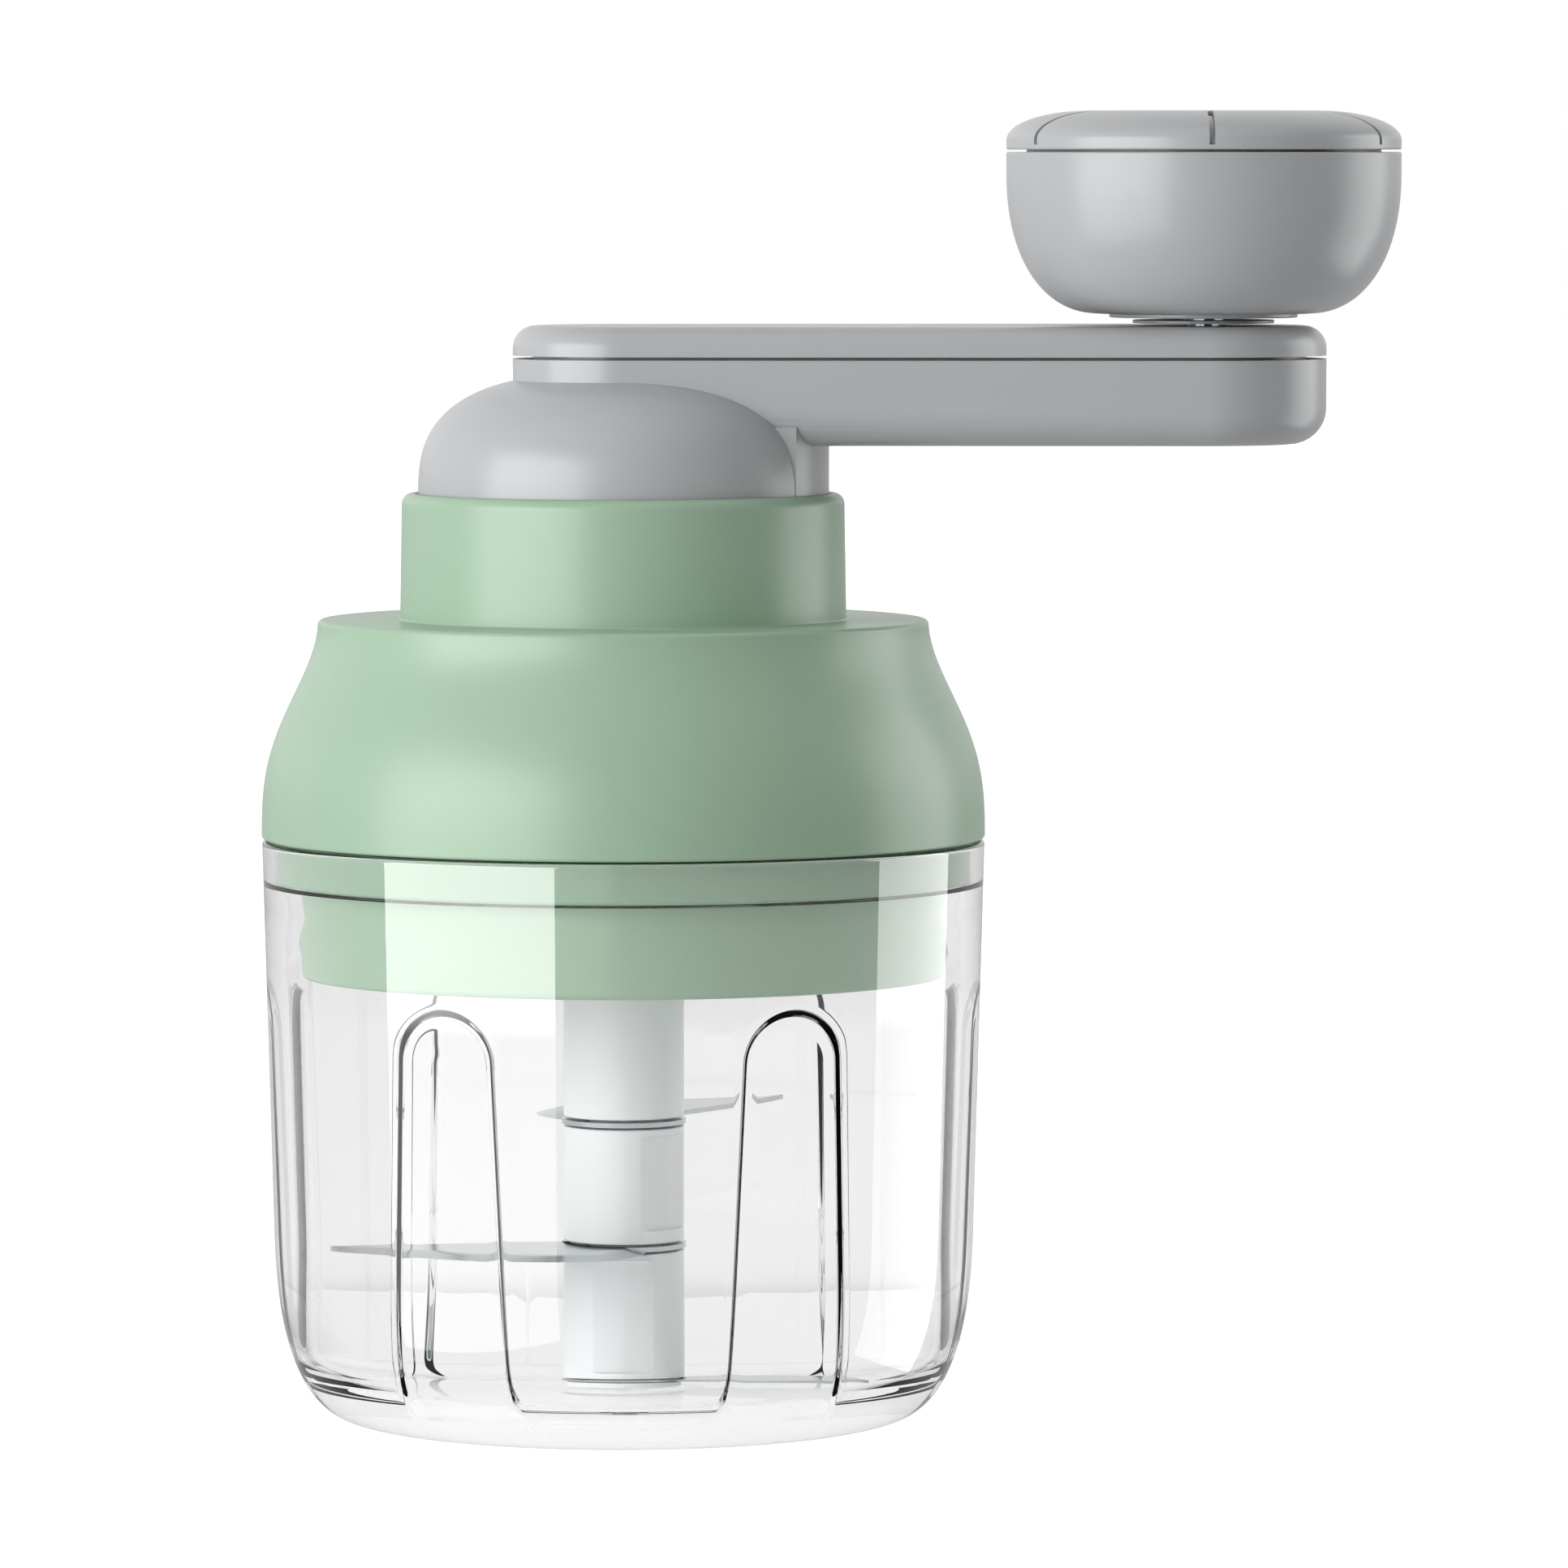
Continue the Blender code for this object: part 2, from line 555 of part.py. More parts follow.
def build_cup():
    """Clear cup with a stepped rim, six ribs, a ring on its floor and the hole for its pin."""
    ring_in = FLOOR_RING_RADIUS - FLOOR_RING_WIDTH / 2
    ring_out = FLOOR_RING_RADIUS + FLOOR_RING_WIDTH / 2
    ring_top = CUP_FLOOR + FLOOR_RING_HEIGHT
    hole = PIN_RADIUS + SEAT_GAP
    profile = [(0, PIN_FLOOR_SKIN), (hole, PIN_FLOOR_SKIN), (hole, CUP_FLOOR),
               (ring_in, CUP_FLOOR), (ring_in, ring_top), (ring_out, ring_top), (ring_out, CUP_FLOOR)]
    inner = corner_heights(CUP_FLOOR, CUP_FLOOR + CUP_INNER_CORNER, 5)
    profile += [(cup_inner_radius(z), z) for z in inner]
    profile += [(cup_inner_radius(LEDGE_Z), LEDGE_Z), (CUP_RIM_RADIUS - RIM_WALL, LEDGE_Z),
                (CUP_RIM_RADIUS - RIM_WALL, CUP_HEIGHT), (CUP_RIM_RADIUS, CUP_HEIGHT)]
    outer = corner_heights(0.0, CUP_CORNER_HEIGHT, 6)
    profile += [(cup_outer_radius(z), z) for z in reversed(outer)]
    profile.append((0, 0))
    cup = turned("cup", profile, LARGE_STEPS)

    rib_top = CUP_HEIGHT - RIB_DROP
    heights = inner + [rib_top + BITE]
    band = [(cup_inner_radius(z) + BITE, z) for z in reversed(heights)]
    band += [(cup_inner_radius(CUP_FLOOR) + BITE, CUP_FLOOR - BITE),
             (cup_inner_radius(CUP_FLOOR) - RIB_DEPTH, CUP_FLOOR - BITE)]
    band += [(cup_inner_radius(z) - RIB_DEPTH, z) for z in heights]
    ribs = turned("cup_ribs", band, LARGE_STEPS)
    half_top = RIB_TOP_WIDTH / 2
    half_foot = RIB_FOOT_WIDTH / 2
    arch = [(-half_foot, CUP_FLOOR - 2 * BITE), (half_foot, CUP_FLOOR - 2 * BITE)]
    arch += arc(0, rib_top - half_top, half_top, 0, 180, 10)
    upright = Matrix.Rotation(math.pi / 2, 4, "Z") @ Matrix.Rotation(math.pi / 2, 4, "X")
    arches = prism("cup_rib_arches", [arch], CUP_FLOOR_RADIUS - 3 * RIB_DEPTH,
                   CUP_RIM_RADIUS + CUP_WALL, upright)
    repeat_about_z(arches, RIB_COUNT, math.pi / RIB_COUNT - math.pi / 2)
    boolean(ribs, arches, "INTERSECT")
    boolean(cup, ribs, "UNION")
    show_as_part(cup, "clear_plastic")

    pin = [(0, PIN_TOP_Z), (PIN_RADIUS - PIN_CHAMFER, PIN_TOP_Z), (PIN_RADIUS, PIN_TOP_Z - PIN_CHAMFER),
           (PIN_RADIUS, PIN_FLOOR_SKIN + SEAT_GAP), (0, PIN_FLOOR_SKIN + SEAT_GAP)]
    show_as_part(turned("cup_pivot_pin", pin, TINY_STEPS), "bright_steel")


def bell_radius(z):
    """Outer radius of the lid's bell at a height: an S-curve from the shell's edge to the deck."""
    t = (z - SHELL_Z) / BELL_HEIGHT
    return SHELL_RADIUS - (SHELL_RADIUS - BELL_TOP_RADIUS) * (1 - math.cos(math.pi * t ** BELL_POWER)) / 2


def build_lid():
    """Green shell with its neck, the inner lid with its skirt, the seal and the screws."""
    neck_top = NECK_RADIUS - NECK_DRAFT
    fillet_r = BELL_TOP_RADIUS - DECK_FILLET
    profile = [(POCKET_RADIUS, NECK_TOP_Z)]
    profile += arc(neck_top - NECK_FILLET, NECK_TOP_Z - NECK_FILLET, NECK_FILLET, 90, 0, 3)
    profile.append((NECK_RADIUS, DECK_Z))
    profile += arc(fillet_r, DECK_Z - DECK_FILLET, DECK_FILLET, 90, 0, 2)
    steps = 8
    for i in range(steps - 1, -1, -1):
        z = SHELL_Z + (BELL_HEIGHT - DECK_FILLET) * i / steps
        profile.append((bell_radius(z), z))
    inner_steps = 3
    for i in range(inner_steps + 1):
        z = SHELL_Z + (BELL_HEIGHT - LID_WALL) * i / inner_steps
        profile.append((bell_radius(z) - LID_WALL, z))
    profile += [(SHAFT_HOLE, DECK_Z - LID_WALL), (SHAFT_HOLE, DECK_Z), (POCKET_RADIUS, DECK_Z)]
    shell = turned("lid_shell", profile, LARGE_STEPS)
    post_z = PLATE_TOP_Z + SEAT_GAP
    posts = cylinder("lid_posts", POST_RADIUS, post_z, DECK_Z - LID_WALL + BITE, TINY_STEPS,
                     (POST_ORBIT, 0))
    boolean(shell, repeat_about_z(posts, SCREW_COUNT, SCREW_ANGLE), "UNION")
    screw_tip = PLATE_Z - SEAT_GAP + SCREW_LENGTH
    pilots = cylinder("lid_post_pilots", SCREW_RADIUS + SEAT_GAP, post_z - BITE,
                      screw_tip + PILOT_EXTRA, TINY_STEPS, (POST_ORBIT, 0))
    boolean(shell, repeat_about_z(pilots, SCREW_COUNT, SCREW_ANGLE), "DIFFERENCE")
    show_as_part(shell, "green_plastic", LID_AXIS)

    groove_r = SKIRT_RADIUS - SEAL_GROOVE
    skirt_in = SKIRT_RADIUS - SKIRT_WALL
    flange_r = SHELL_RADIUS - LID_WALL - SEAT_GAP
    flange_top = FLANGE_Z + FLANGE_THICKNESS
    inner = [(skirt_in, flange_top), (flange_r, flange_top), (flange_r, FLANGE_Z), (groove_r, FLANGE_Z),
             (groove_r, LEDGE_Z), (SKIRT_RADIUS, LEDGE_Z), (SKIRT_RADIUS, SKIRT_Z), (skirt_in, SKIRT_Z),
             (skirt_in, PLATE_Z), (SHAFT_HOLE, PLATE_Z), (SHAFT_HOLE, PLATE_TOP_Z),
             (SEAL_CUP_RADIUS, PLATE_TOP_Z), (SEAL_CUP_RADIUS, seal_top() + SEAT_GAP),
             (SEAL_CUP_RADIUS + SEAL_CUP_WALL, seal_top() + SEAT_GAP),
             (SEAL_CUP_RADIUS + SEAL_CUP_WALL, PLATE_TOP_Z), (skirt_in, PLATE_TOP_Z)]
    lid_inner = turned("lid_inner", inner, LARGE_STEPS)
    holes = cylinder("lid_inner_screw_holes", SCREW_RADIUS + SEAT_GAP, PLATE_Z - BITE, PLATE_TOP_Z + BITE,
                     TINY_STEPS, (POST_ORBIT, 0))
    boolean(lid_inner, repeat_about_z(holes, SCREW_COUNT, SCREW_ANGLE), "DIFFERENCE")
    show_as_part(lid_inner, "green_plastic", LID_AXIS)

    seal_in = groove_r + SEAT_GAP
    seal_out = CUP_RIM_RADIUS - RIM_WALL - SEAT_GAP
    seal = [(seal_in, CUP_HEIGHT), (seal_out, CUP_HEIGHT), (seal_out, LEDGE_Z + SEAT_GAP),
            (seal_in, LEDGE_Z + SEAT_GAP)]
    show_as_part(turned("lid_seal_ring", seal, LARGE_STEPS), "green_silicone", LID_AXIS)

    head_z = PLATE_Z - SEAT_GAP - SCREW_HEAD
    screw = [(0, screw_tip), (SCREW_RADIUS, screw_tip), (SCREW_RADIUS, head_z + SCREW_HEAD),
             (SCREW_HEAD_RADIUS, head_z + SCREW_HEAD), (SCREW_HEAD_RADIUS, head_z + SCREW_HEAD_CHAMFER / 2),
             (SCREW_HEAD_RADIUS - SCREW_HEAD_CHAMFER, head_z), (0, head_z)]
    for i in range(SCREW_COUNT):
        place = polar(POST_ORBIT, SCREW_ANGLE + 2 * math.pi * i / SCREW_COUNT)
        show_as_part(turned("lid_screw_%d" % (i + 1), screw, TINY_STEPS, place), "bright_steel", LID_AXIS)


def seal_top():
    """Height of the shaft seal's upper face, over the lower bush's flange."""
    return PLATE_TOP_Z + SEAT_GAP + SHAFT_BUSH_FLANGE + SEAT_GAP + SEAL_LIP_HEIGHT


def involute(angle):
    """Involute function of an angle."""
    return math.tan(angle) - angle


def gear_outline(teeth, tip, root, half_pitch_width):
    """Outline of a spur gear, or of the space in a ring gear, with a tooth centred on +X.

    Each flank is a straight line between its root and its tip on the involute.
    """
    pitch_radius = GEAR_MODULE * teeth / 2
    base_radius = pitch_radius * math.cos(PRESSURE_ANGLE)
    inner = min(tip, root)
    outer = max(tip, root)

    def half_angle(radius):
        slope = math.acos(min(1.0, base_radius / radius))
        return half_pitch_width / pitch_radius + involute(PRESSURE_ANGLE) - involute(slope)

    points = []
    for tooth in range(teeth):
        centre = 2 * math.pi * tooth / teeth
        points.append(polar(inner, centre - half_angle(inner)))
        points.append(polar(outer, centre - half_angle(outer)))
        points.append(polar(outer, centre + half_angle(outer)))
        points.append(polar(inner, centre + half_angle(inner)))
    return points


def circle(radius, steps):
    """Outline of a circle."""
    return [polar(radius, 2 * math.pi * i / steps) for i in range(steps)]


def spur_gear(name, teeth, bore):
    """External gear with a tooth centred on +X."""
    pitch = GEAR_MODULE * teeth / 2
    width = math.pi * GEAR_MODULE / 4 - BACKLASH / 4
    outline = gear_outline(teeth, pitch + ADDENDUM * GEAR_MODULE, pitch - DEDENDUM * GEAR_MODULE, width)
    return prism(name, [outline, circle(bore, SMALL_STEPS)], GEAR_Z, GEAR_TOP_Z)


def build_gears():
    """Ring gear in the neck, planets on the carrier's pins, and the sun gear."""
    pitch = GEAR_MODULE * RING_TEETH / 2
    width = math.pi * GEAR_MODULE / 4 + BACKLASH / 4
    spaces = gear_outline(RING_TEETH, pitch - ADDENDUM * GEAR_MODULE, RING_ROOT_RADIUS, width)
    ring = prism("ring_gear", [circle(RING_OUTER_RADIUS, LARGE_STEPS), spaces], DECK_Z + SEAT_GAP, GEAR_TOP_Z)
    show_as_part(ring, "gear_plastic", LID_AXIS)

    retainer = [(RING_OUTER_RADIUS - RETAINER_WIDTH, RETAINER_Z + RETAINER_THICKNESS),
                (RING_OUTER_RADIUS, RETAINER_Z + RETAINER_THICKNESS), (RING_OUTER_RADIUS, RETAINER_Z),
                (RING_OUTER_RADIUS - RETAINER_WIDTH, RETAINER_Z)]
    show_as_part(turned("retaining_ring", retainer, LARGE_STEPS), "gear_plastic", LID_AXIS)

    planet_mesh = spur_gear("planet_gear", PLANET_TEETH, PLANET_PIN_RADIUS + RUN_GAP).data
    pin_top = CARRIER_TOP_Z
    pin_head = PLANET_PIN_RADIUS + PLANET_PIN_HEAD_WIDTH
    pin_shoulder = PLANET_PIN_Z + PLANET_PIN_HEAD
    pin = [(0, pin_top), (PLANET_PIN_RADIUS, pin_top), (PLANET_PIN_RADIUS, pin_shoulder),
           (pin_head, pin_shoulder), (pin_head, PLANET_PIN_Z), (0, PLANET_PIN_Z)]
    for i in range(PLANET_COUNT):
        angle = 2 * math.pi * i / PLANET_COUNT
        x, y = polar(PLANET_ORBIT, angle)
        axis = axis_empty("planet_axis_%d" % (i + 1), x, y, GEAR_Z, CRANK_AXIS)
        gear = bpy.data.objects.new("planet_gear_%d" % (i + 1), planet_mesh)
        gear.location = (x, y, 0)
        gear.rotation_euler = (0, 0, angle)
        show_as_part(gear, "gear_plastic", axis)
        show_as_part(turned("planet_pin_%d" % (i + 1), pin, TINY_STEPS, (x, y)), "bright_steel", CRANK_AXIS)

    sun = spur_gear("sun_gear", SUN_TEETH, SHAFT_NECK_RADIUS + SEAT_GAP)
    sun.rotation_euler = (0, 0, math.pi / SUN_TEETH)
    show_as_part(sun, "gear_plastic", DRIVE_AXIS)

    disc_r = POCKET_RADIUS - CARRIER_SLACK
    pilot = SHAFT_NECK_RADIUS + RUN_GAP
    pilot_top = CARRIER_Z + PILOT_BORE_DEPTH + SEAT_GAP
    disc = [(0, CARRIER_TOP_Z), (disc_r, CARRIER_TOP_Z), (disc_r, CARRIER_Z), (pilot, CARRIER_Z),
            (pilot, pilot_top), (0, pilot_top)]
    carrier = turned("planet_carrier", disc, LARGE_STEPS)
    boss_top = CARRIER_TOP_Z + HUB_DRIVE_HEIGHT
    boss = hexagon("carrier_boss", HUB_DRIVE_AF, CARRIER_TOP_Z - BITE, boss_top)
    boolean(carrier, boss, "UNION")
    pin_holes = cylinder("carrier_pin_holes", PLANET_PIN_RADIUS + SEAT_GAP, CARRIER_Z - BITE,
                         CARRIER_TOP_Z + BITE, TINY_STEPS, (PLANET_ORBIT, 0))
    boolean(carrier, repeat_about_z(pin_holes, PLANET_COUNT), "DIFFERENCE")
    screw_hole = cylinder("carrier_screw_hole", HUB_SCREW_RADIUS + SEAT_GAP, hub_screw_tip() - SEAT_GAP,
                          boss_top + BITE, TINY_STEPS)
    boolean(carrier, screw_hole, "DIFFERENCE")
    show_as_part(carrier, "gear_plastic", CRANK_AXIS)


def hub_screw_tip():
    """Height of the hub screw's tip, over the web that closes the carrier's pilot bore."""
    return CARRIER_TOP_Z + SEAT_GAP


def flanged_bush(name, floor_z, below, finish):
    """Bush for the drive shaft: its flange lies on a floor and its body passes through it."""
    flange_r = SHAFT_BUSH_RADIUS + SHAFT_BUSH_FLANGE_WIDTH
    flange_z = floor_z + SEAT_GAP
    top = flange_z + SHAFT_BUSH_FLANGE
    ring = [(SHAFT_BUSH_BORE, top), (flange_r, top), (flange_r, flange_z), (SHAFT_BUSH_RADIUS, flange_z),
            (SHAFT_BUSH_RADIUS, below), (SHAFT_BUSH_BORE, below)]
    show_as_part(turned(name, ring, SMALL_STEPS), finish, LID_AXIS)


def build_drive():
    """Hexagonal drive shaft from the sun gear into the blade holder, with what carries it."""
    bush_below = DECK_Z - LID_WALL - SHAFT_BUSH_BELOW
    flanged_bush("upper_shaft_bush", DECK_Z, bush_below, "brass")
    flanged_bush("lower_shaft_bush", PLATE_TOP_Z, PLATE_Z, "brass")

    seal_z = PLATE_TOP_Z + SEAT_GAP + SHAFT_BUSH_FLANGE + SEAT_GAP
    lip = [(SHAFT_BUSH_BORE, seal_top()), (SEAL_LIP_RADIUS, seal_top()), (SEAL_LIP_RADIUS, seal_z),
           (SHAFT_BUSH_BORE, seal_z)]
    show_as_part(turned("shaft_seal", lip, SMALL_STEPS), "black_rubber", LID_AXIS)

    clip_top = bush_below - SEAT_GAP
    clip_z = clip_top - CLIP_THICKNESS
    clip_bore = SHAFT_NECK_RADIUS + SEAT_GAP
    clip = [(clip_bore, clip_top), (CLIP_RADIUS, clip_top), (CLIP_RADIUS, clip_z), (clip_bore, clip_z)]
    show_as_part(turned("shaft_clip", clip, SMALL_STEPS), "bright_steel", DRIVE_AXIS)

    shoulder = GEAR_Z - SEAT_GAP
    shaft_top = CARRIER_Z + PILOT_BORE_DEPTH
    hex_top = PLATE_Z - SEAT_GAP
    profile = [(0, shaft_top), (SHAFT_NECK_RADIUS, shaft_top), (SHAFT_NECK_RADIUS, shoulder),
               (SHAFT_RADIUS, shoulder), (SHAFT_RADIUS, clip_top + SEAT_GAP),
               (SHAFT_NECK_RADIUS, clip_top + SEAT_GAP), (SHAFT_NECK_RADIUS, clip_z - SEAT_GAP),
               (SHAFT_RADIUS, clip_z - SEAT_GAP), (SHAFT_RADIUS, hex_top), (0, hex_top)]
    shaft = turned("drive_shaft", profile, SMALL_STEPS)
    boolean(shaft, hexagon("shaft_hexagon", SHAFT_HEX_AF, HEX_Z, hex_top + BITE), "UNION")
    show_as_part(shaft, "bright_steel", DRIVE_AXIS)


def blade_reach():
    """Radius of a blade's tip, which clears the ribs where the low blade turns."""
    return cup_inner_radius(LOW_BLADE_Z - BLADE_THICKNESS / 2) - RIB_DEPTH - BLADE_TIP_GAP


def blade_mesh():
    """Mesh of one sickle blade seen from above, its tip along +X, with its eye and hexagonal hole."""
    eye = HOLDER_RADIUS + BLADE_EYE_PROUD
    inside = HOLDER_RADIUS - EYE_BITE
    back = (inside, BLADE_BACK_ANGLE)
    tip = (blade_reach(), 0.0)
    edge = [(blade_reach() * share, degrees) for share, degrees in BLADE_EDGE]
    edge.append((inside, BLADE_HEEL_DEGREES))
    curve = bpy.data.curves.new("sickle", "CURVE")
    curve.dimensions = "2D"
    curve.fill_mode = "BOTH"
    curve.extrude = BLADE_THICKNESS / 2
    curve.resolution_u = 3
    spline = curve.splines.new("BEZIER")
    corners = [back, tip] + [(r, math.radians(a)) for r, a in edge]
    spline.bezier_points.add(len(corners) - 1)
    for i, (point, corner) in enumerate(zip(spline.bezier_points, corners)):
        point.co = (*polar(*corner), 0)
        straight = i < 2 or i == len(corners) - 1
        point.handle_left_type = "VECTOR" if straight else "AUTO"
        point.handle_right_type = "VECTOR" if straight else "AUTO"
    spline.use_cyclic_u = True
    sickle = show_as_cutter(mesh_from_curve("sickle_blade", curve, 0.0))
    disc = cylinder("blade_eye", eye, -BLADE_THICKNESS / 2, BLADE_THICKNESS / 2, MEDIUM_STEPS)
    boolean(sickle, disc, "UNION")
    hole = hexagon("blade_eye_hole", CORE_AF + 2 * SEAT_GAP, -BLADE_THICKNESS, BLADE_THICKNESS)
    boolean(sickle, hole, "DIFFERENCE")
    bpy.context.view_layer.update()
    evaluated = sickle.evaluated_get(bpy.context.evaluated_depsgraph_get())
    mesh = bpy.data.meshes.new_from_object(evaluated)
    mesh.name = "blade"
    return mesh


def holder_section(name, bottom, top, radius, flat_angle=None):
    """Sleeve of the blade holder with the core's hexagonal hole, and a flat if it has one."""
    profile = [(0, top), (radius, top), (radius, bottom), (0, bottom)]
    section = turned(name, profile, MEDIUM_STEPS)
    hole = hexagon(name + "_hole", CORE_AF + 2 * SEAT_GAP, bottom - BITE, top + BITE)
    boolean(section, hole, "DIFFERENCE")
    if flat_angle is not None:
        low = (radius - FLAT_DEPTH, -radius, bottom + FLAT_END)
        high = (radius + FLAT_DEPTH, radius, top + BITE)
        flat = block(name + "_flat", low, high)
        boolean(section, repeat_about_z(flat, 1, flat_angle), "DIFFERENCE")
    return section


def build_blade_unit():
    """Pale holder in sections on a hexagonal core, three blades, and the foot bush."""
    half = BLADE_THICKNESS / 2
    mesh = blade_mesh()
    for name, z, angle in (("blade_top", TOP_BLADE_Z, TOP_BLADE_ANGLE),
                           ("blade_middle", MID_BLADE_Z, MID_BLADE_ANGLE),
                           ("blade_low", LOW_BLADE_Z, LOW_BLADE_ANGLE)):
        blade = bpy.data.objects.new(name, mesh.copy())
        # The eye's hexagon repeats every sixth of a turn, so the blade's own mesh is turned
        # instead of its eye: the hole stays in line with the core.
        turn_blade(blade, angle)
        blade.location = (0, 0, z)
        show_as_part(blade, "blade_steel", BLADE_AXIS)

    top_z = TOP_BLADE_Z + half + SEAT_GAP
    top = turned("holder_top", [(0, HOLDER_TOP_Z), (HOLDER_RADIUS, HOLDER_TOP_Z), (HOLDER_RADIUS, top_z),
                                (0, top_z)], MEDIUM_STEPS)
    pocket = hexagon("holder_core_pocket", CORE_AF + 2 * SEAT_GAP, top_z - BITE, CORE_TOP_Z + SEAT_GAP)
    boolean(top, pocket, "DIFFERENCE")
    socket = hexagon("holder_drive_socket", SHAFT_HEX_AF + 2 * RUN_GAP, SOCKET_Z, HOLDER_TOP_Z + BITE)
    boolean(top, socket, "DIFFERENCE")
    show_as_part(top, "pale_plastic", BLADE_AXIS)

    middle = holder_section("holder_middle", MID_BLADE_Z + half + SEAT_GAP, TOP_BLADE_Z - half - SEAT_GAP,
                            HOLDER_RADIUS, MID_FLAT_ANGLE)
    show_as_part(middle, "pale_plastic", BLADE_AXIS)
    low = holder_section("holder_low", LOW_BLADE_Z + half + SEAT_GAP, MID_BLADE_Z - half - SEAT_GAP,
                         HOLDER_RADIUS, LOW_FLAT_ANGLE)
    show_as_part(low, "pale_plastic", BLADE_AXIS)

    flange_r = BUSH_RADIUS + BUSH_FLANGE_WIDTH
    recess_r = flange_r + SEAT_GAP
    recess_z = FOOT_BUSH_Z + BUSH_FLANGE + SEAT_GAP
    web_top = recess_z + FOOT_RECESS_WEB
    foot_top = LOW_BLADE_Z - half - SEAT_GAP
    foot = turned("holder_foot", [(CORE_BORE, foot_top), (FOOT_RADIUS, foot_top), (FOOT_RADIUS, FOOT_Z),
                                  (recess_r, FOOT_Z), (recess_r, recess_z), (CORE_BORE, recess_z)],
                  MEDIUM_STEPS)
    foot_pocket = hexagon("holder_foot_pocket", CORE_AF + 2 * SEAT_GAP, web_top, foot_top + BITE)
    boolean(foot, foot_pocket, "DIFFERENCE")
    show_as_part(foot, "pale_plastic", BLADE_AXIS)

    core_z = web_top + SEAT_GAP
    core = hexagon("holder_core", CORE_AF, core_z, CORE_TOP_Z)
    bore = cylinder("holder_core_bore", CORE_BORE, core_z - BITE, FOOT_BUSH_TOP_Z + SEAT_GAP, SMALL_STEPS)
    boolean(core, bore, "DIFFERENCE")
    show_as_part(core, "bright_steel", BLADE_AXIS)

    bush_inner_top = PIN_TOP_Z + SEAT_GAP
    bush = [(0, FOOT_BUSH_TOP_Z), (BUSH_RADIUS, FOOT_BUSH_TOP_Z), (BUSH_RADIUS, FOOT_BUSH_Z + BUSH_FLANGE),
            (flange_r, FOOT_BUSH_Z + BUSH_FLANGE), (flange_r, FOOT_BUSH_Z), (BUSH_BORE, FOOT_BUSH_Z),
            (BUSH_BORE, bush_inner_top), (0, bush_inner_top)]
    show_as_part(turned("foot_bush", bush, SMALL_STEPS), "gear_plastic", BLADE_LIFT)


def turn_blade(blade, angle):
    """Turn a blade about its eye, keeping the hexagonal hole in line with the core."""
    step = math.radians(60)
    whole = round(angle / step) * step
    blade.rotation_euler = (0, 0, whole)
    bm = bmesh.new()
    bm.from_mesh(blade.data)
    hole = (CORE_AF / 2 + SEAT_GAP) / math.cos(math.pi / 6)
    limit = (hole + HOLDER_RADIUS - EYE_BITE) / 2
    outer = [v for v in bm.verts if v.co.xy.length > limit]
    bmesh.ops.rotate(bm, cent=(0, 0, 0), matrix=Matrix.Rotation(angle - whole, 3, "Z"), verts=outer)
    bm.to_mesh(blade.data)
    bm.free()


def stadium(root_radius, end_radius, steps=11):
    """Outline round the crank's axis and the knob's axis, with straight sides between them."""
    lean = math.asin((end_radius - root_radius) / ARM_LENGTH)
    start = math.pi / 2 + lean
    points = []
    for i in range(steps + 1):
        points.append(polar(root_radius, start + (2 * math.pi - 2 * start) * i / steps))
    for i in range(steps + 1):
        x, y = polar(end_radius, -start + 2 * start * i / steps)
        points.append((ARM_LENGTH + x, y))
    return points


def dome_radius(z):
    """Outer radius of the hub at a height."""
    t = (z - HUB_Z - HUB_SKIRT) / HUB_DOME
    return HUB_RADIUS * (1 - max(0.0, min(1.0, t)) ** HUB_POWER) ** (1 / HUB_POWER)


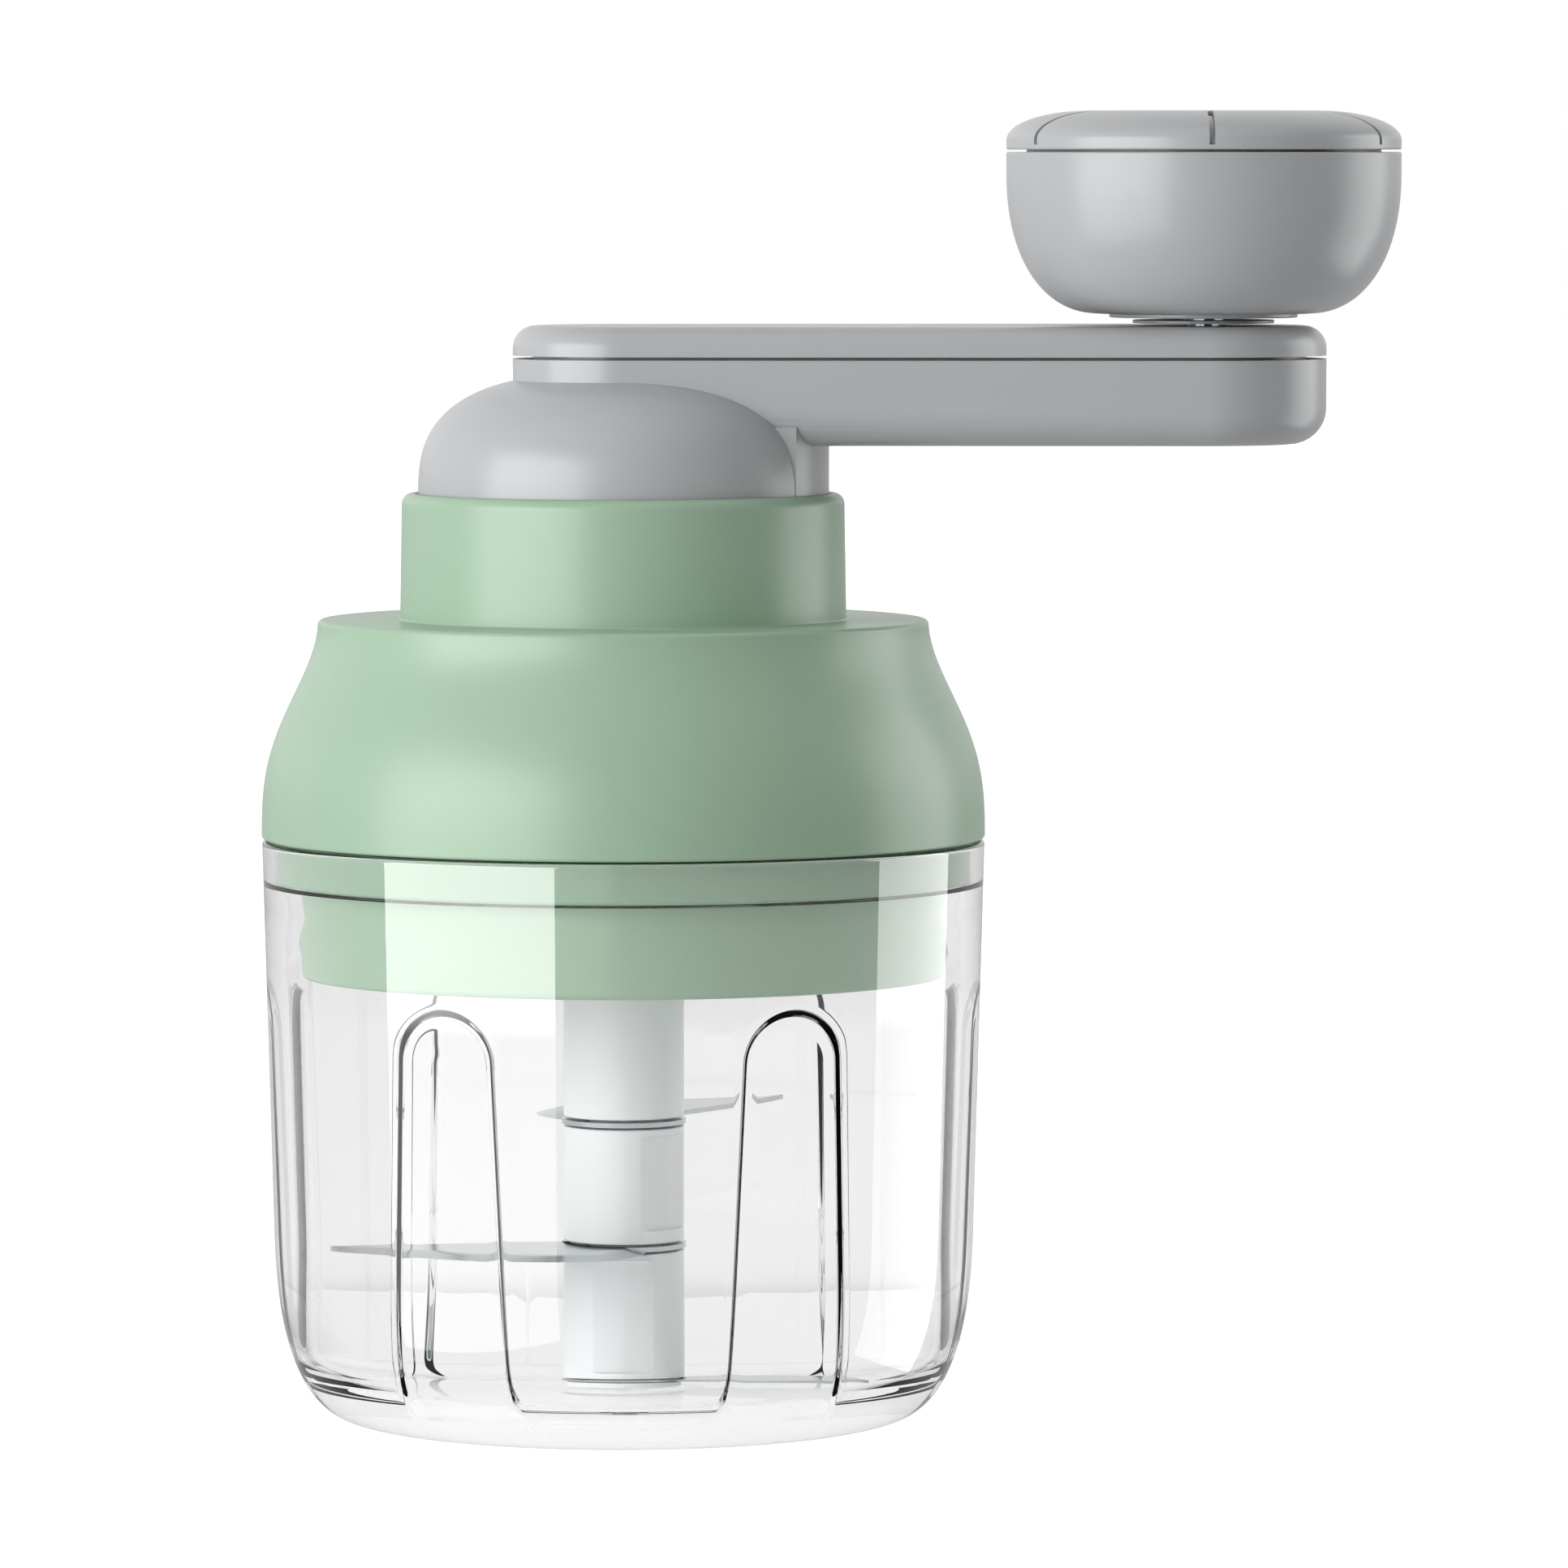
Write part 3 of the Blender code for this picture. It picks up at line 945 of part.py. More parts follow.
def build_crank():
    """Grey crank moulded in one: domed hub, pillar and hollow arm, with its cover and screw."""
    dome_z = HUB_Z + HUB_SKIRT
    profile = [(0, dome_z + HUB_DOME)]
    steps = 8
    for i in range(1, steps + 1):
        z = dome_z + HUB_DOME * math.cos(math.pi / 2 * i / steps) ** 0.7
        profile.append((dome_radius(z), z))
    profile += [(HUB_RADIUS, HUB_Z), (0, HUB_Z)]
    crank = turned("crank_arm", profile, LARGE_STEPS)

    pillar = cylinder("crank_pillar", HUB_RADIUS + PILLAR_PROUD, HUB_Z + BITE, ARM_Z + ARM_FLOOR, LARGE_STEPS)
    slab = block("crank_pillar_width", (0, -PILLAR_HALF_WIDTH, HUB_Z - BITE),
                 (2 * HUB_RADIUS, PILLAR_HALF_WIDTH, ARM_TOP_Z))
    boolean(pillar, slab, "INTERSECT")
    boolean(crank, pillar, "UNION")

    outer = stadium(ARM_ROOT_RADIUS, ARM_END_RADIUS)
    arm = prism("crank_arm_beam", [outer], ARM_Z, ARM_TOP_Z)
    bevel_level_edges(arm, ARM_Z, ARM_FILLET, 3)
    boolean(crank, arm, "UNION")

    ceiling_z = HUB_Z + HUB_CEILING
    hollow = cylinder("crank_hub_hollow", HUB_RADIUS - HUB_WALL, HUB_Z - BITE, ceiling_z, MEDIUM_STEPS)
    boolean(crank, hollow, "DIFFERENCE")
    boss_z = CARRIER_TOP_Z + SEAT_GAP
    hub_boss = cylinder("crank_hub_boss", HUB_BOSS_RADIUS, boss_z, ceiling_z + BITE, MEDIUM_STEPS)
    boolean(crank, hub_boss, "UNION")
    channel = prism("crank_arm_channel", [stadium(ARM_ROOT_RADIUS - ARM_WALL, ARM_END_RADIUS - ARM_WALL, 7)],
                    ARM_FLOOR_Z, ARM_TOP_Z + BITE)
    boolean(crank, channel, "DIFFERENCE")
    knob_boss = cylinder("crank_knob_boss", ARM_BOSS_RADIUS, ARM_FLOOR_Z - BITE, COVER_TOP_Z, SMALL_STEPS,
                         (ARM_LENGTH, 0))
    boolean(crank, knob_boss, "UNION")
    boss_bore = cylinder("crank_knob_boss_bore", ARM_BOSS_BORE, insert_bottom() - SEAT_GAP,
                         COVER_TOP_Z + BITE, SMALL_STEPS, (ARM_LENGTH, 0))
    boolean(crank, boss_bore, "DIFFERENCE")
    drive = hexagon("crank_drive_socket", HUB_DRIVE_AF + 2 * SEAT_GAP, boss_z - BITE,
                    CARRIER_TOP_Z + HUB_DRIVE_HEIGHT + SEAT_GAP)
    boolean(crank, drive, "DIFFERENCE")
    hole = cylinder("crank_screw_hole", HUB_SCREW_RADIUS + SEAT_GAP, boss_z, ARM_FLOOR_Z + BITE, TINY_STEPS)
    boolean(crank, hole, "DIFFERENCE")
    show_as_part(crank, "grey_plastic", CRANK_AXIS)

    cover = prism("arm_cover", [outer], COVER_Z, COVER_TOP_Z)
    bevel_level_edges(cover, COVER_TOP_Z, COVER_FILLET, 3)
    lip_out = ARM_WALL + SEAT_GAP
    lip_in = lip_out + COVER_LIP_WALL
    lip = prism("arm_cover_lip", [stadium(ARM_ROOT_RADIUS - lip_out, ARM_END_RADIUS - lip_out, 7),
                                  stadium(ARM_ROOT_RADIUS - lip_in, ARM_END_RADIUS - lip_in, 7)],
                ARM_TOP_Z - COVER_LIP_DEPTH, COVER_Z + BITE)
    boolean(cover, lip, "UNION")
    cover_hole = cylinder("arm_cover_hole", ARM_BOSS_RADIUS + SEAT_GAP, COVER_Z - BITE, COVER_TOP_Z + BITE,
                          SMALL_STEPS, (ARM_LENGTH, 0))
    boolean(cover, cover_hole, "DIFFERENCE")
    show_as_part(cover, "grey_plastic", CRANK_AXIS)

    washer_z = ARM_FLOOR_Z + SEAT_GAP
    washer_top = washer_z + WASHER_THICKNESS
    washer_bore = HUB_SCREW_RADIUS + SEAT_GAP
    washer = [(washer_bore, washer_top), (WASHER_RADIUS, washer_top), (WASHER_RADIUS, washer_z),
              (washer_bore, washer_z)]
    show_as_part(turned("hub_washer", washer, SMALL_STEPS), "bright_steel", CRANK_AXIS)
    head_z = washer_top + SEAT_GAP
    head_top = head_z + HUB_SCREW_HEAD
    screw = [(0, head_top), (HUB_SCREW_HEAD_RADIUS - HUB_SCREW_CHAMFER, head_top),
             (HUB_SCREW_HEAD_RADIUS, head_top - HUB_SCREW_CHAMFER), (HUB_SCREW_HEAD_RADIUS, head_z),
             (HUB_SCREW_RADIUS, head_z), (HUB_SCREW_RADIUS, hub_screw_tip()), (0, hub_screw_tip())]
    show_as_part(turned("hub_screw", screw, TINY_STEPS), "bright_steel", CRANK_AXIS)


def insert_bottom():
    """Height of the threaded insert's lower end in the arm's boss."""
    return COVER_TOP_Z - SEAT_GAP - KNOB_THREAD_LENGTH - 2 * SEAT_GAP


def bowl_radius(z, inset=0.0):
    """Outer radius of the knob's bowl at a height."""
    t = 1 - (z - BOWL_Z) / KNOB_CURVE_HEIGHT
    return KNOB_RADIUS - inset - (KNOB_RADIUS - KNOB_FLAT_RADIUS) * superellipse(t, KNOB_POWER)


def cap_profile(inset, bottom):
    """Cap's outline from its top centre down to a height, set in all over by a distance."""
    points = [(0, CAP_TOP_Z - inset)]
    steps = 4
    for i in range(steps + 1):
        angle = math.pi / 2 * (1 - i / steps)
        r = CAP_FLAT_RADIUS + (KNOB_RADIUS - CAP_FLAT_RADIUS) * math.cos(angle)
        z = CAP_Z + CAP_SEAM_WALL + (CAP_HEIGHT - CAP_SEAM_WALL) * math.sin(angle)
        points.append((r - inset, z - inset))
    points.append((KNOB_RADIUS - inset, bottom))
    return points


def build_knob():
    """Hollow turning knob with its grooved cap, bush and screw, and the collar under it."""
    x = ARM_LENGTH
    tube_top = BOWL_Z + KNOB_TUBE_HEIGHT
    floor = BOWL_Z + KNOB_WALL
    profile = [(KNOB_RADIUS - KNOB_WALL, SEAM_Z), (KNOB_RADIUS, SEAM_Z)]
    steps = 5
    for i in range(steps + 1):
        z = BOWL_Z + KNOB_CURVE_HEIGHT * (1 - math.sin(math.pi / 2 * i / steps) ** 1.1)
        profile.append((bowl_radius(z), z))
    profile += [(KNOB_FOOT_RADIUS, BOWL_Z), (KNOB_FOOT_RADIUS, KNOB_Z), (KNOB_TUBE_BORE, KNOB_Z),
                (KNOB_TUBE_BORE, tube_top), (KNOB_TUBE_RADIUS, tube_top), (KNOB_TUBE_RADIUS, floor)]
    inner_steps = 3
    for i in range(inner_steps + 1):
        z = floor + (KNOB_CURVE_HEIGHT - KNOB_WALL) * i / inner_steps
        profile.append((bowl_radius(z, KNOB_WALL), z))
    show_as_part(turned("knob_body", profile, LARGE_STEPS, (x, 0)), "grey_plastic", KNOB_AXIS)

    under = CAP_TOP_Z - CAP_WALL
    lip_out = KNOB_RADIUS - KNOB_WALL - SEAT_GAP
    lip_z = SEAM_Z - CAP_LIP
    outline = cap_profile(0.0, CAP_Z)
    outline += [(lip_out, CAP_Z), (lip_out, lip_z), (lip_out - CAP_WALL, lip_z), (lip_out - CAP_WALL, under),
                (0, under)]
    cap = turned("knob_cap", outline, LARGE_STEPS, (x, 0))
    floor_shape = turned("cap_groove_floor", cap_profile(GROOVE_DEPTH, CAP_Z - BITE)
                         + [(0, CAP_Z - BITE)], LARGE_STEPS, (x, 0))
    groove = block("cap_grooves", (GROOVE_START, -GROOVE_WIDTH / 2, CAP_Z + CAP_SEAM_WALL / 2),
                   (KNOB_RADIUS + BITE, GROOVE_WIDTH / 2, CAP_TOP_Z + BITE))
    grooves = repeat_about_z(groove, GROOVE_COUNT, math.pi / 2)
    grooves.location.x = x
    boolean(grooves, floor_shape, "DIFFERENCE")
    boolean(cap, grooves, "DIFFERENCE")
    show_as_part(cap, "grey_plastic", KNOB_AXIS)

    flange_z = tube_top + SEAT_GAP
    flange_top = flange_z + KNOB_BUSH_FLANGE
    bush = [(KNOB_BUSH_BORE, flange_top), (KNOB_TUBE_RADIUS, flange_top), (KNOB_TUBE_RADIUS, flange_z),
            (KNOB_BUSH_RADIUS, flange_z), (KNOB_BUSH_RADIUS, KNOB_Z), (KNOB_BUSH_BORE, KNOB_Z)]
    show_as_part(turned("knob_bush", bush, SMALL_STEPS, (x, 0)), "gear_plastic", KNOB_AXIS)

    head_z = flange_top + RUN_GAP
    head_top = head_z + KNOB_SCREW_HEAD
    shoulder = COVER_TOP_Z + SEAT_GAP
    tip = shoulder - KNOB_THREAD_LENGTH
    screw = [(0, head_top), (KNOB_SCREW_HEAD_RADIUS - KNOB_SCREW_CHAMFER, head_top),
             (KNOB_SCREW_HEAD_RADIUS, head_top - KNOB_SCREW_CHAMFER), (KNOB_SCREW_HEAD_RADIUS, head_z),
             (KNOB_SCREW_RADIUS, head_z), (KNOB_SCREW_RADIUS, shoulder), (KNOB_THREAD_RADIUS, shoulder),
             (KNOB_THREAD_RADIUS, tip), (0, tip)]
    show_as_part(turned("knob_screw", screw, SMALL_STEPS, (x, 0)), "bright_steel", CRANK_AXIS)

    collar_bore = KNOB_SCREW_RADIUS + SEAT_GAP
    collar_top = COLLAR_Z + COLLAR_THICKNESS
    collar = [(collar_bore, collar_top), (COLLAR_RADIUS, collar_top), (COLLAR_RADIUS, COLLAR_Z),
              (collar_bore, COLLAR_Z)]
    show_as_part(turned("knob_collar", collar, MEDIUM_STEPS, (x, 0)), "grey_plastic", CRANK_AXIS)

    insert_top = COVER_TOP_Z - SEAT_GAP
    insert = [(INSERT_BORE, insert_top), (INSERT_RADIUS, insert_top), (INSERT_RADIUS, insert_bottom()),
              (INSERT_BORE, insert_bottom())]
    show_as_part(turned("arm_insert", insert, SMALL_STEPS, (x, 0)), "brass", CRANK_AXIS)


clear_scene()
PARTS = new_collection("vegetable_chopper")
CUTTERS = new_collection("cutters")
LID_AXIS = axis_empty("lid_axis", z=SHELL_Z)
CRANK_AXIS = axis_empty("crank_axis", z=HUB_Z, parent=LID_AXIS)
DRIVE_AXIS = axis_empty("drive_axis", z=GEAR_Z, parent=LID_AXIS)
KNOB_AXIS = axis_empty("knob_axis", x=ARM_LENGTH, z=KNOB_Z, parent=CRANK_AXIS)
BLADE_LIFT = axis_empty("blade_lift_axis", z=FOOT_BUSH_Z)
BLADE_AXIS = axis_empty("blade_axis", z=FOOT_Z, parent=BLADE_LIFT)

build_cup()
build_lid()
build_gears()
build_drive()
build_blade_unit()
build_crank()
build_knob()
bpy.context.view_layer.update()
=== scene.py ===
"""Look of the hand-cranked vegetable chopper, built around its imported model.

Lengths are in metres and Z is up. The crank and the blades turn about the cup's axis, which is Z, and the
arm points along +X. Each sub-assembly is a class that builds its own pieces, and the solids that none of
them stands for are dressed last.
"""
from __future__ import annotations

import logging
import math
from bisect import bisect_left
from dataclasses import dataclass
from enum import Enum
from typing import Callable

import bmesh
import bpy
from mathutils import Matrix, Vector

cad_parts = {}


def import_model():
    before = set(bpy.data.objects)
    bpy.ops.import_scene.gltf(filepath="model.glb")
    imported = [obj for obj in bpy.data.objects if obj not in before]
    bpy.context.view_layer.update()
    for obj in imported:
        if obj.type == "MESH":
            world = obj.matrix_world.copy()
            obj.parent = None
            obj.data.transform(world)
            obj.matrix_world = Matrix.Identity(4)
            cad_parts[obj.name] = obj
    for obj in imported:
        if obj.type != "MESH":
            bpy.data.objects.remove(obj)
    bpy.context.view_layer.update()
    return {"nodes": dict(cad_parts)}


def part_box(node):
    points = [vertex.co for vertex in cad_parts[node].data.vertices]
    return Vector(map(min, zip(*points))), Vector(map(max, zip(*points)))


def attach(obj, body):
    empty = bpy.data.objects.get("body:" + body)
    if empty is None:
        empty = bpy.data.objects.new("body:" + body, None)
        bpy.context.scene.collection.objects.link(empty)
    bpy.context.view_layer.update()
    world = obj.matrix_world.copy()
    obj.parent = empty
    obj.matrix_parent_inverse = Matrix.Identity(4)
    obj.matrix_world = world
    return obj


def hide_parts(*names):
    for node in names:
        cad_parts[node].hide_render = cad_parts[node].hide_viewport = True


MM = 0.001
LARGE_STEPS = 240                  # faces round a large turned piece
BAR_STEPS = 120                    # round each end of the arm
SMALL_STEPS = 96                   # round a small turned piece
SCREW_STEPS = 48                   # round a screw or its hole
FILLET_STEPS = 5                   # pieces that a rounded corner is drawn with
WELD = 0.002 * MM                  # points closer than this are one
TOUCH = 0.01 * MM                  # how near a place a point has to be to count as on it
PAST = 1.0 * MM                    # how far a tool reaches past the face where it cuts or joins a piece
CREASE = math.radians(32)          # corners sharper than this stay sharp
FLAT = math.radians(0.2)           # faces that meet at less than this are one flat
SUPPORT = 0.15 * MM                # from a rounded corner to the line that keeps the flat beside it flat
SUPPORT_ROOM = 4 * SUPPORT         # shortest flat that gets such a line
ROUNDING_REACH = 1.5               # what the next corner takes of that flat, in radii of its rounding
FINE_EDGE = 0.15 * MM              # radii of the rounded edges that several pieces share
SMALL_EDGE = 0.2 * MM
PLAIN_EDGE = 0.3 * MM
SOFT_EDGE = 0.35 * MM
WIDE_EDGE = 0.5 * MM

GAP = 0.3 * MM                     # between faces that rest on each other, and round shafts
CUP_HEIGHT = 72.25 * MM
CUP_LEDGE = 67.0 * MM              # height of the ledge inside the cup's rim
ARM_LENGTH = 72.1 * MM             # from the crank's axis to the knob's
HEXAGON_TURN = math.radians(8)     # how far the drive's hexagons are turned about the main axis
NOISE_RANGE = (0.3, 0.7)           # where most values of a noise lie
LOG = logging.getLogger("vegetable_chopper")

MIX_FACTOR = 0                     # sockets of a colour mix
MIX_A = 6
MIX_B = 7
MIX_RESULT = 2

Place = tuple[float, float, float]
Profile = list[tuple[float, float]]    # points (radius, height)
Outline = list[tuple[float, ...]]      # such points, with a third value where a radius rounds the corner


class Cut(Enum):
    """How a Boolean uses its tool."""

    JOIN = "UNION"
    REMOVE = "DIFFERENCE"
    KEEP_SHARED = "INTERSECT"


class Element(Enum):
    """Kinds of mesh element that can be selected."""

    EDGE = "EDGE"
    FACE = "FACE"


def linear(code: str) -> tuple[float, float, float, float]:
    """Turn an sRGB colour into a linear one.

    Args:
        code: Hex code such as "#A3BFA7".

    Returns:
        Linear red, green and blue, and an alpha of 1.
    """
    values = [int(code[i:i + 2], 16) / 255 for i in (1, 3, 5)]
    red, green, blue = (v / 12.92 if v <= 0.04045 else ((v + 0.055) / 1.055) ** 2.4 for v in values)
    return (red, green, blue, 1.0)


def shaded(code: str, share: float) -> tuple[float, float, float, float]:
    """Linear colour of a hex code, made brighter or darker.

    Args:
        code: Hex code of the colour.
        share: What its brightness is multiplied by.

    Returns:
        Linear colour with an alpha of 1.
    """
    red, green, blue, alpha = linear(code)
    return (min(1.0, red * share), min(1.0, green * share), min(1.0, blue * share), alpha)


def add_node(tree: bpy.types.NodeTree, kind: str, inputs: dict | None = None, **settings) -> bpy.types.Node:
    """Add a node with its settings, values and links.

    Args:
        tree: Node tree that the node goes in.
        kind: Type name of the node.
        inputs: Value of each socket by name or number, or the output that feeds it.
        **settings: Attributes of the node.

    Returns:
        The new node.
    """
    node = tree.nodes.new(kind)
    for name, value in settings.items():
        setattr(node, name, value)
    for socket, value in (inputs or {}).items():
        if isinstance(value, bpy.types.NodeSocket):
            tree.links.new(value, node.inputs[socket])
        else:
            node.inputs[socket].default_value = value
    return node


def new_material(name: str) -> tuple[bpy.types.Material, bpy.types.NodeTree, bpy.types.NodeSocket]:
    """Start a material.

    Args:
        name: Name of the finish.

    Returns:
        The material, its emptied node tree and the socket that its surface shader feeds.
    """
    material = bpy.data.materials.new(name)
    material.use_nodes = True
    tree = material.node_tree
    tree.nodes.clear()
    output = add_node(tree, "ShaderNodeOutputMaterial")
    return material, tree, output.inputs["Surface"]


@dataclass(frozen=True)
class MouldedPlastic:
    """Injection-moulded plastic such as ABS: an even colour under a satin skin with a very fine grain."""

    name: str
    colour: str
    roughness: float = 0.3
    ior: float = 1.5
    clouding: float = 0.015        # how far the pigment varies, as a share of its brightness
    gloss_spread: float = 0.06     # how far the roughness varies with it, as a share
    cloud_size: float = 16.0       # mm, width of the pigment's clouds
    grain_size: float = 0.5        # mm, drawn coarser than the real grain so that it shows
    grain_depth: float = 0.0015    # mm

    def material(self) -> bpy.types.Material:
        """Build the node material.

        Returns:
            The material.
        """
        material, tree, surface = new_material(self.name)
        place = add_node(tree, "ShaderNodeTexCoord").outputs["Object"]
        clouds = add_node(tree, "ShaderNodeTexNoise",
                          {"Vector": place, "Scale": 1 / (self.cloud_size * MM), "Detail": 3.0})
        grain = add_node(tree, "ShaderNodeTexNoise",
                         {"Vector": place, "Scale": 1 / (self.grain_size * MM), "Detail": 2.0})
        pigment = add_node(tree, "ShaderNodeMix",
                           {MIX_FACTOR: clouds.outputs["Fac"], MIX_A: shaded(self.colour, 1 - self.clouding),
                            MIX_B: shaded(self.colour, 1 + self.clouding)}, data_type="RGBA")
        gloss = add_node(tree, "ShaderNodeMapRange",
                         {"Value": clouds.outputs["Fac"], "From Min": NOISE_RANGE[0],
                          "From Max": NOISE_RANGE[1], "To Min": self.roughness * (1 - self.gloss_spread),
                          "To Max": self.roughness * (1 + self.gloss_spread)})
        relief = add_node(tree, "ShaderNodeBump",
                          {"Height": grain.outputs["Fac"], "Distance": self.grain_depth * MM})
        shader = add_node(tree, "ShaderNodeBsdfPrincipled",
                          {"Base Color": pigment.outputs[MIX_RESULT], "Roughness": gloss.outputs["Result"],
                           "IOR": self.ior, "Normal": relief.outputs["Normal"]})
        tree.links.new(shader.outputs["BSDF"], surface)
        return material


@dataclass(frozen=True)
class ClearStyrene:
    """Clear moulded styrene: glassy and colourless, so that its edges and ribs show as thin dark lines."""

    name: str
    tint: str = "#F8F8F8"
    ior: float = 1.57
    shadow_tint: str = "#EEEEEE"                       # what its shadow lets through
    painted_reflection: tuple[float, float] = (0.4, 1.5)            # painted reflection: the glass reflects weaker below the heights and stronger above them
    painted_reflection_heights: tuple[float, float] = (51.0, 54.0)  # mm, where the painted reflection turns stronger, at the end of the lid's skirt behind the wall

    def material(self) -> bpy.types.Material:
        """Build the node material: glass whose shadow still lets the lamps' light through, and whose painted
        reflection is stronger above a height.

        Returns:
            The material.
        """
        material, tree, surface = new_material(self.name)
        path = add_node(tree, "ShaderNodeLightPath")
        place = add_node(tree, "ShaderNodeTexCoord").outputs["Object"]
        height = add_node(tree, "ShaderNodeSeparateXYZ", {0: place}).outputs["Z"]
        # Painted reflection: how strongly the glass reflects is set by height, weaker below the lid's skirt
        # and stronger in front of it.
        painted_reflection = add_node(tree, "ShaderNodeMapRange",
                         {"Value": height, "From Min": self.painted_reflection_heights[0] * MM,
                          "From Max": self.painted_reflection_heights[1] * MM, "To Min": self.painted_reflection[0],
                          "To Max": self.painted_reflection[1]})
        glass = add_node(tree, "ShaderNodeBsdfPrincipled",
                         {"Base Color": linear(self.tint), "Roughness": 0.0, "IOR": self.ior,
                          "Transmission Weight": 1.0, "Specular Tint": painted_reflection.outputs["Result"]})
        through = add_node(tree, "ShaderNodeBsdfTransparent", {"Color": linear(self.shadow_tint)})
        both = add_node(tree, "ShaderNodeMixShader",
                        {0: path.outputs["Is Shadow Ray"], 1: glass.outputs["BSDF"],
                         2: through.outputs["BSDF"]})
        tree.links.new(both.outputs["Shader"], surface)
        return material


@dataclass(frozen=True)
class GroundMetal:
    """Steel or brass with fine tool marks, which break its reflections into streaks that run one way."""

    name: str
    colour: str
    roughness: float = 0.22
    mark_width: float = 0.12       # mm, drawn coarser than the real marks so that they show
    mark_length: float = 12.0      # mm
    mark_depth: float = 0.0012     # mm
    tone_spread: float = 0.08      # how far the marks vary in brightness, as a share
    gloss_shares: tuple[float, float] = (0.8, 1.25)    # of the roughness, in the smooth and the rough marks
    turn: float = 0.0              # radians, direction of the marks from +X

    def material(self) -> bpy.types.Material:
        """Build the node material.

        Returns:
            The material.
        """
        material, tree, surface = new_material(self.name)
        place = add_node(tree, "ShaderNodeTexCoord").outputs["Object"]
        along = add_node(tree, "ShaderNodeMapping",
                         {"Vector": place, "Rotation": (0.0, 0.0, -self.turn),
                          "Scale": (1 / (self.mark_length * MM), 1 / (self.mark_width * MM),
                                    1 / (self.mark_width * MM))})
        marks = add_node(tree, "ShaderNodeTexNoise",
                         {"Vector": along.outputs["Vector"], "Scale": 1.0, "Detail": 4.0})
        tone = add_node(tree, "ShaderNodeMix",
                        {MIX_FACTOR: marks.outputs["Fac"], MIX_A: shaded(self.colour, 1 - self.tone_spread),
                         MIX_B: shaded(self.colour, 1 + self.tone_spread)}, data_type="RGBA")
        gloss = add_node(tree, "ShaderNodeMapRange",
                         {"Value": marks.outputs["Fac"], "From Min": NOISE_RANGE[0],
                          "From Max": NOISE_RANGE[1], "To Min": self.roughness * self.gloss_shares[0],
                          "To Max": self.roughness * self.gloss_shares[1]})
        relief = add_node(tree, "ShaderNodeBump",
                          {"Height": marks.outputs["Fac"], "Distance": self.mark_depth * MM})
        shader = add_node(tree, "ShaderNodeBsdfPrincipled",
                          {"Base Color": tone.outputs[MIX_RESULT], "Metallic": 1.0,
                           "Roughness": gloss.outputs["Result"], "Normal": relief.outputs["Normal"]})
        tree.links.new(shader.outputs["BSDF"], surface)
        return material


class Finish(Enum):
    """The object's finishes, each under the name of its material slot."""

    CLEAR = ("clear_plastic", ClearStyrene("clear_styrene"))
    # Satin skins with broad, soft highlights; the silicone's is duller than the lid's.
    GREEN = ("green_plastic", MouldedPlastic("sage_green_abs", "#A2BFA5", roughness=0.34))
    SEAL = ("green_silicone", MouldedPlastic("sage_green_silicone", "#A0BCA4", roughness=0.42, ior=1.43))
    GREY = ("grey_plastic", MouldedPlastic("light_grey_abs", "#B7B9BB", roughness=0.3))
    PALE = ("pale_plastic", MouldedPlastic("pale_grey_abs", "#F0F2F3", roughness=0.3))
    # Off-white and waxy.
    GEARS = ("gear_plastic", MouldedPlastic("natural_acetal", "#E6E2D6", roughness=0.36, ior=1.48))
    # Dull black with a coarser skin.
    RUBBER = ("black_rubber", MouldedPlastic("black_nitrile_rubber", "#2A2B2C", roughness=0.55,
                                             grain_depth=0.006))
    # Bright metal with streaked reflections.
    STEEL = ("bright_steel", GroundMetal("turned_stainless_steel", "#C4C8CB"))
    BRASS = ("brass", GroundMetal("turned_brass", "#C9A65A", roughness=0.3))

    @property
    def slot(self) -> str:
        """Name of the material slot."""
        return self.value[0]

    def material(self) -> bpy.types.Material:
        """The finish's material, made when it is first asked for."""
        look = self.value[1]
        return bpy.data.materials.get(look.name) or look.material()


def activate(piece: bpy.types.Object) -> None:
    """Make one piece the only selected object, and the active one."""
    bpy.ops.object.select_all(action="DESELECT")
    piece.select_set(True)
    bpy.context.view_layer.objects.active = piece


def settle(piece: bpy.types.Object) -> None:
    """Put a piece's place in its mesh, so that its object is at the origin."""
    activate(piece)
    bpy.ops.object.transform_apply(location=True, rotation=True, scale=True)


def join(piece: bpy.types.Object, *others: bpy.types.Object) -> None:
    """Take other pieces into one piece's mesh as they are.

    Args:
        piece: The piece that stays.
        *others: The pieces that it takes in.
    """
    activate(piece)
    for other in others:
        other.select_set(True)
    bpy.ops.object.join()


def open_mesh(piece: bpy.types.Object) -> None:
    """Enter edit mode with nothing selected.

    Args:
        piece: The piece to edit.
    """
    activate(piece)
    bpy.ops.object.mode_set(mode="EDIT")
    bpy.ops.mesh.select_mode(type="VERT")
    bpy.ops.mesh.select_all(action="DESELECT")


def close_mesh() -> None:
    """Leave edit mode."""
    bpy.ops.object.mode_set(mode="OBJECT")


def weld() -> None:
    """Merge the corners that meet, in edit mode, and leave everything selected."""
    bpy.ops.mesh.select_all(action="SELECT")
    bpy.ops.mesh.remove_doubles(threshold=WELD)


def close_outwards() -> None:
    """Turn all faces outwards and leave edit mode."""
    bpy.ops.mesh.select_all(action="SELECT")
    bpy.ops.mesh.normals_make_consistent(inside=False)
    close_mesh()


def at_height(element: bmesh.types.BMEdge | bmesh.types.BMFace, height: float) -> bool:
    """Whether all corners of an edge or a face lie at a height."""
    return all(abs(corner.co.z - height) < TOUCH for corner in element.verts)


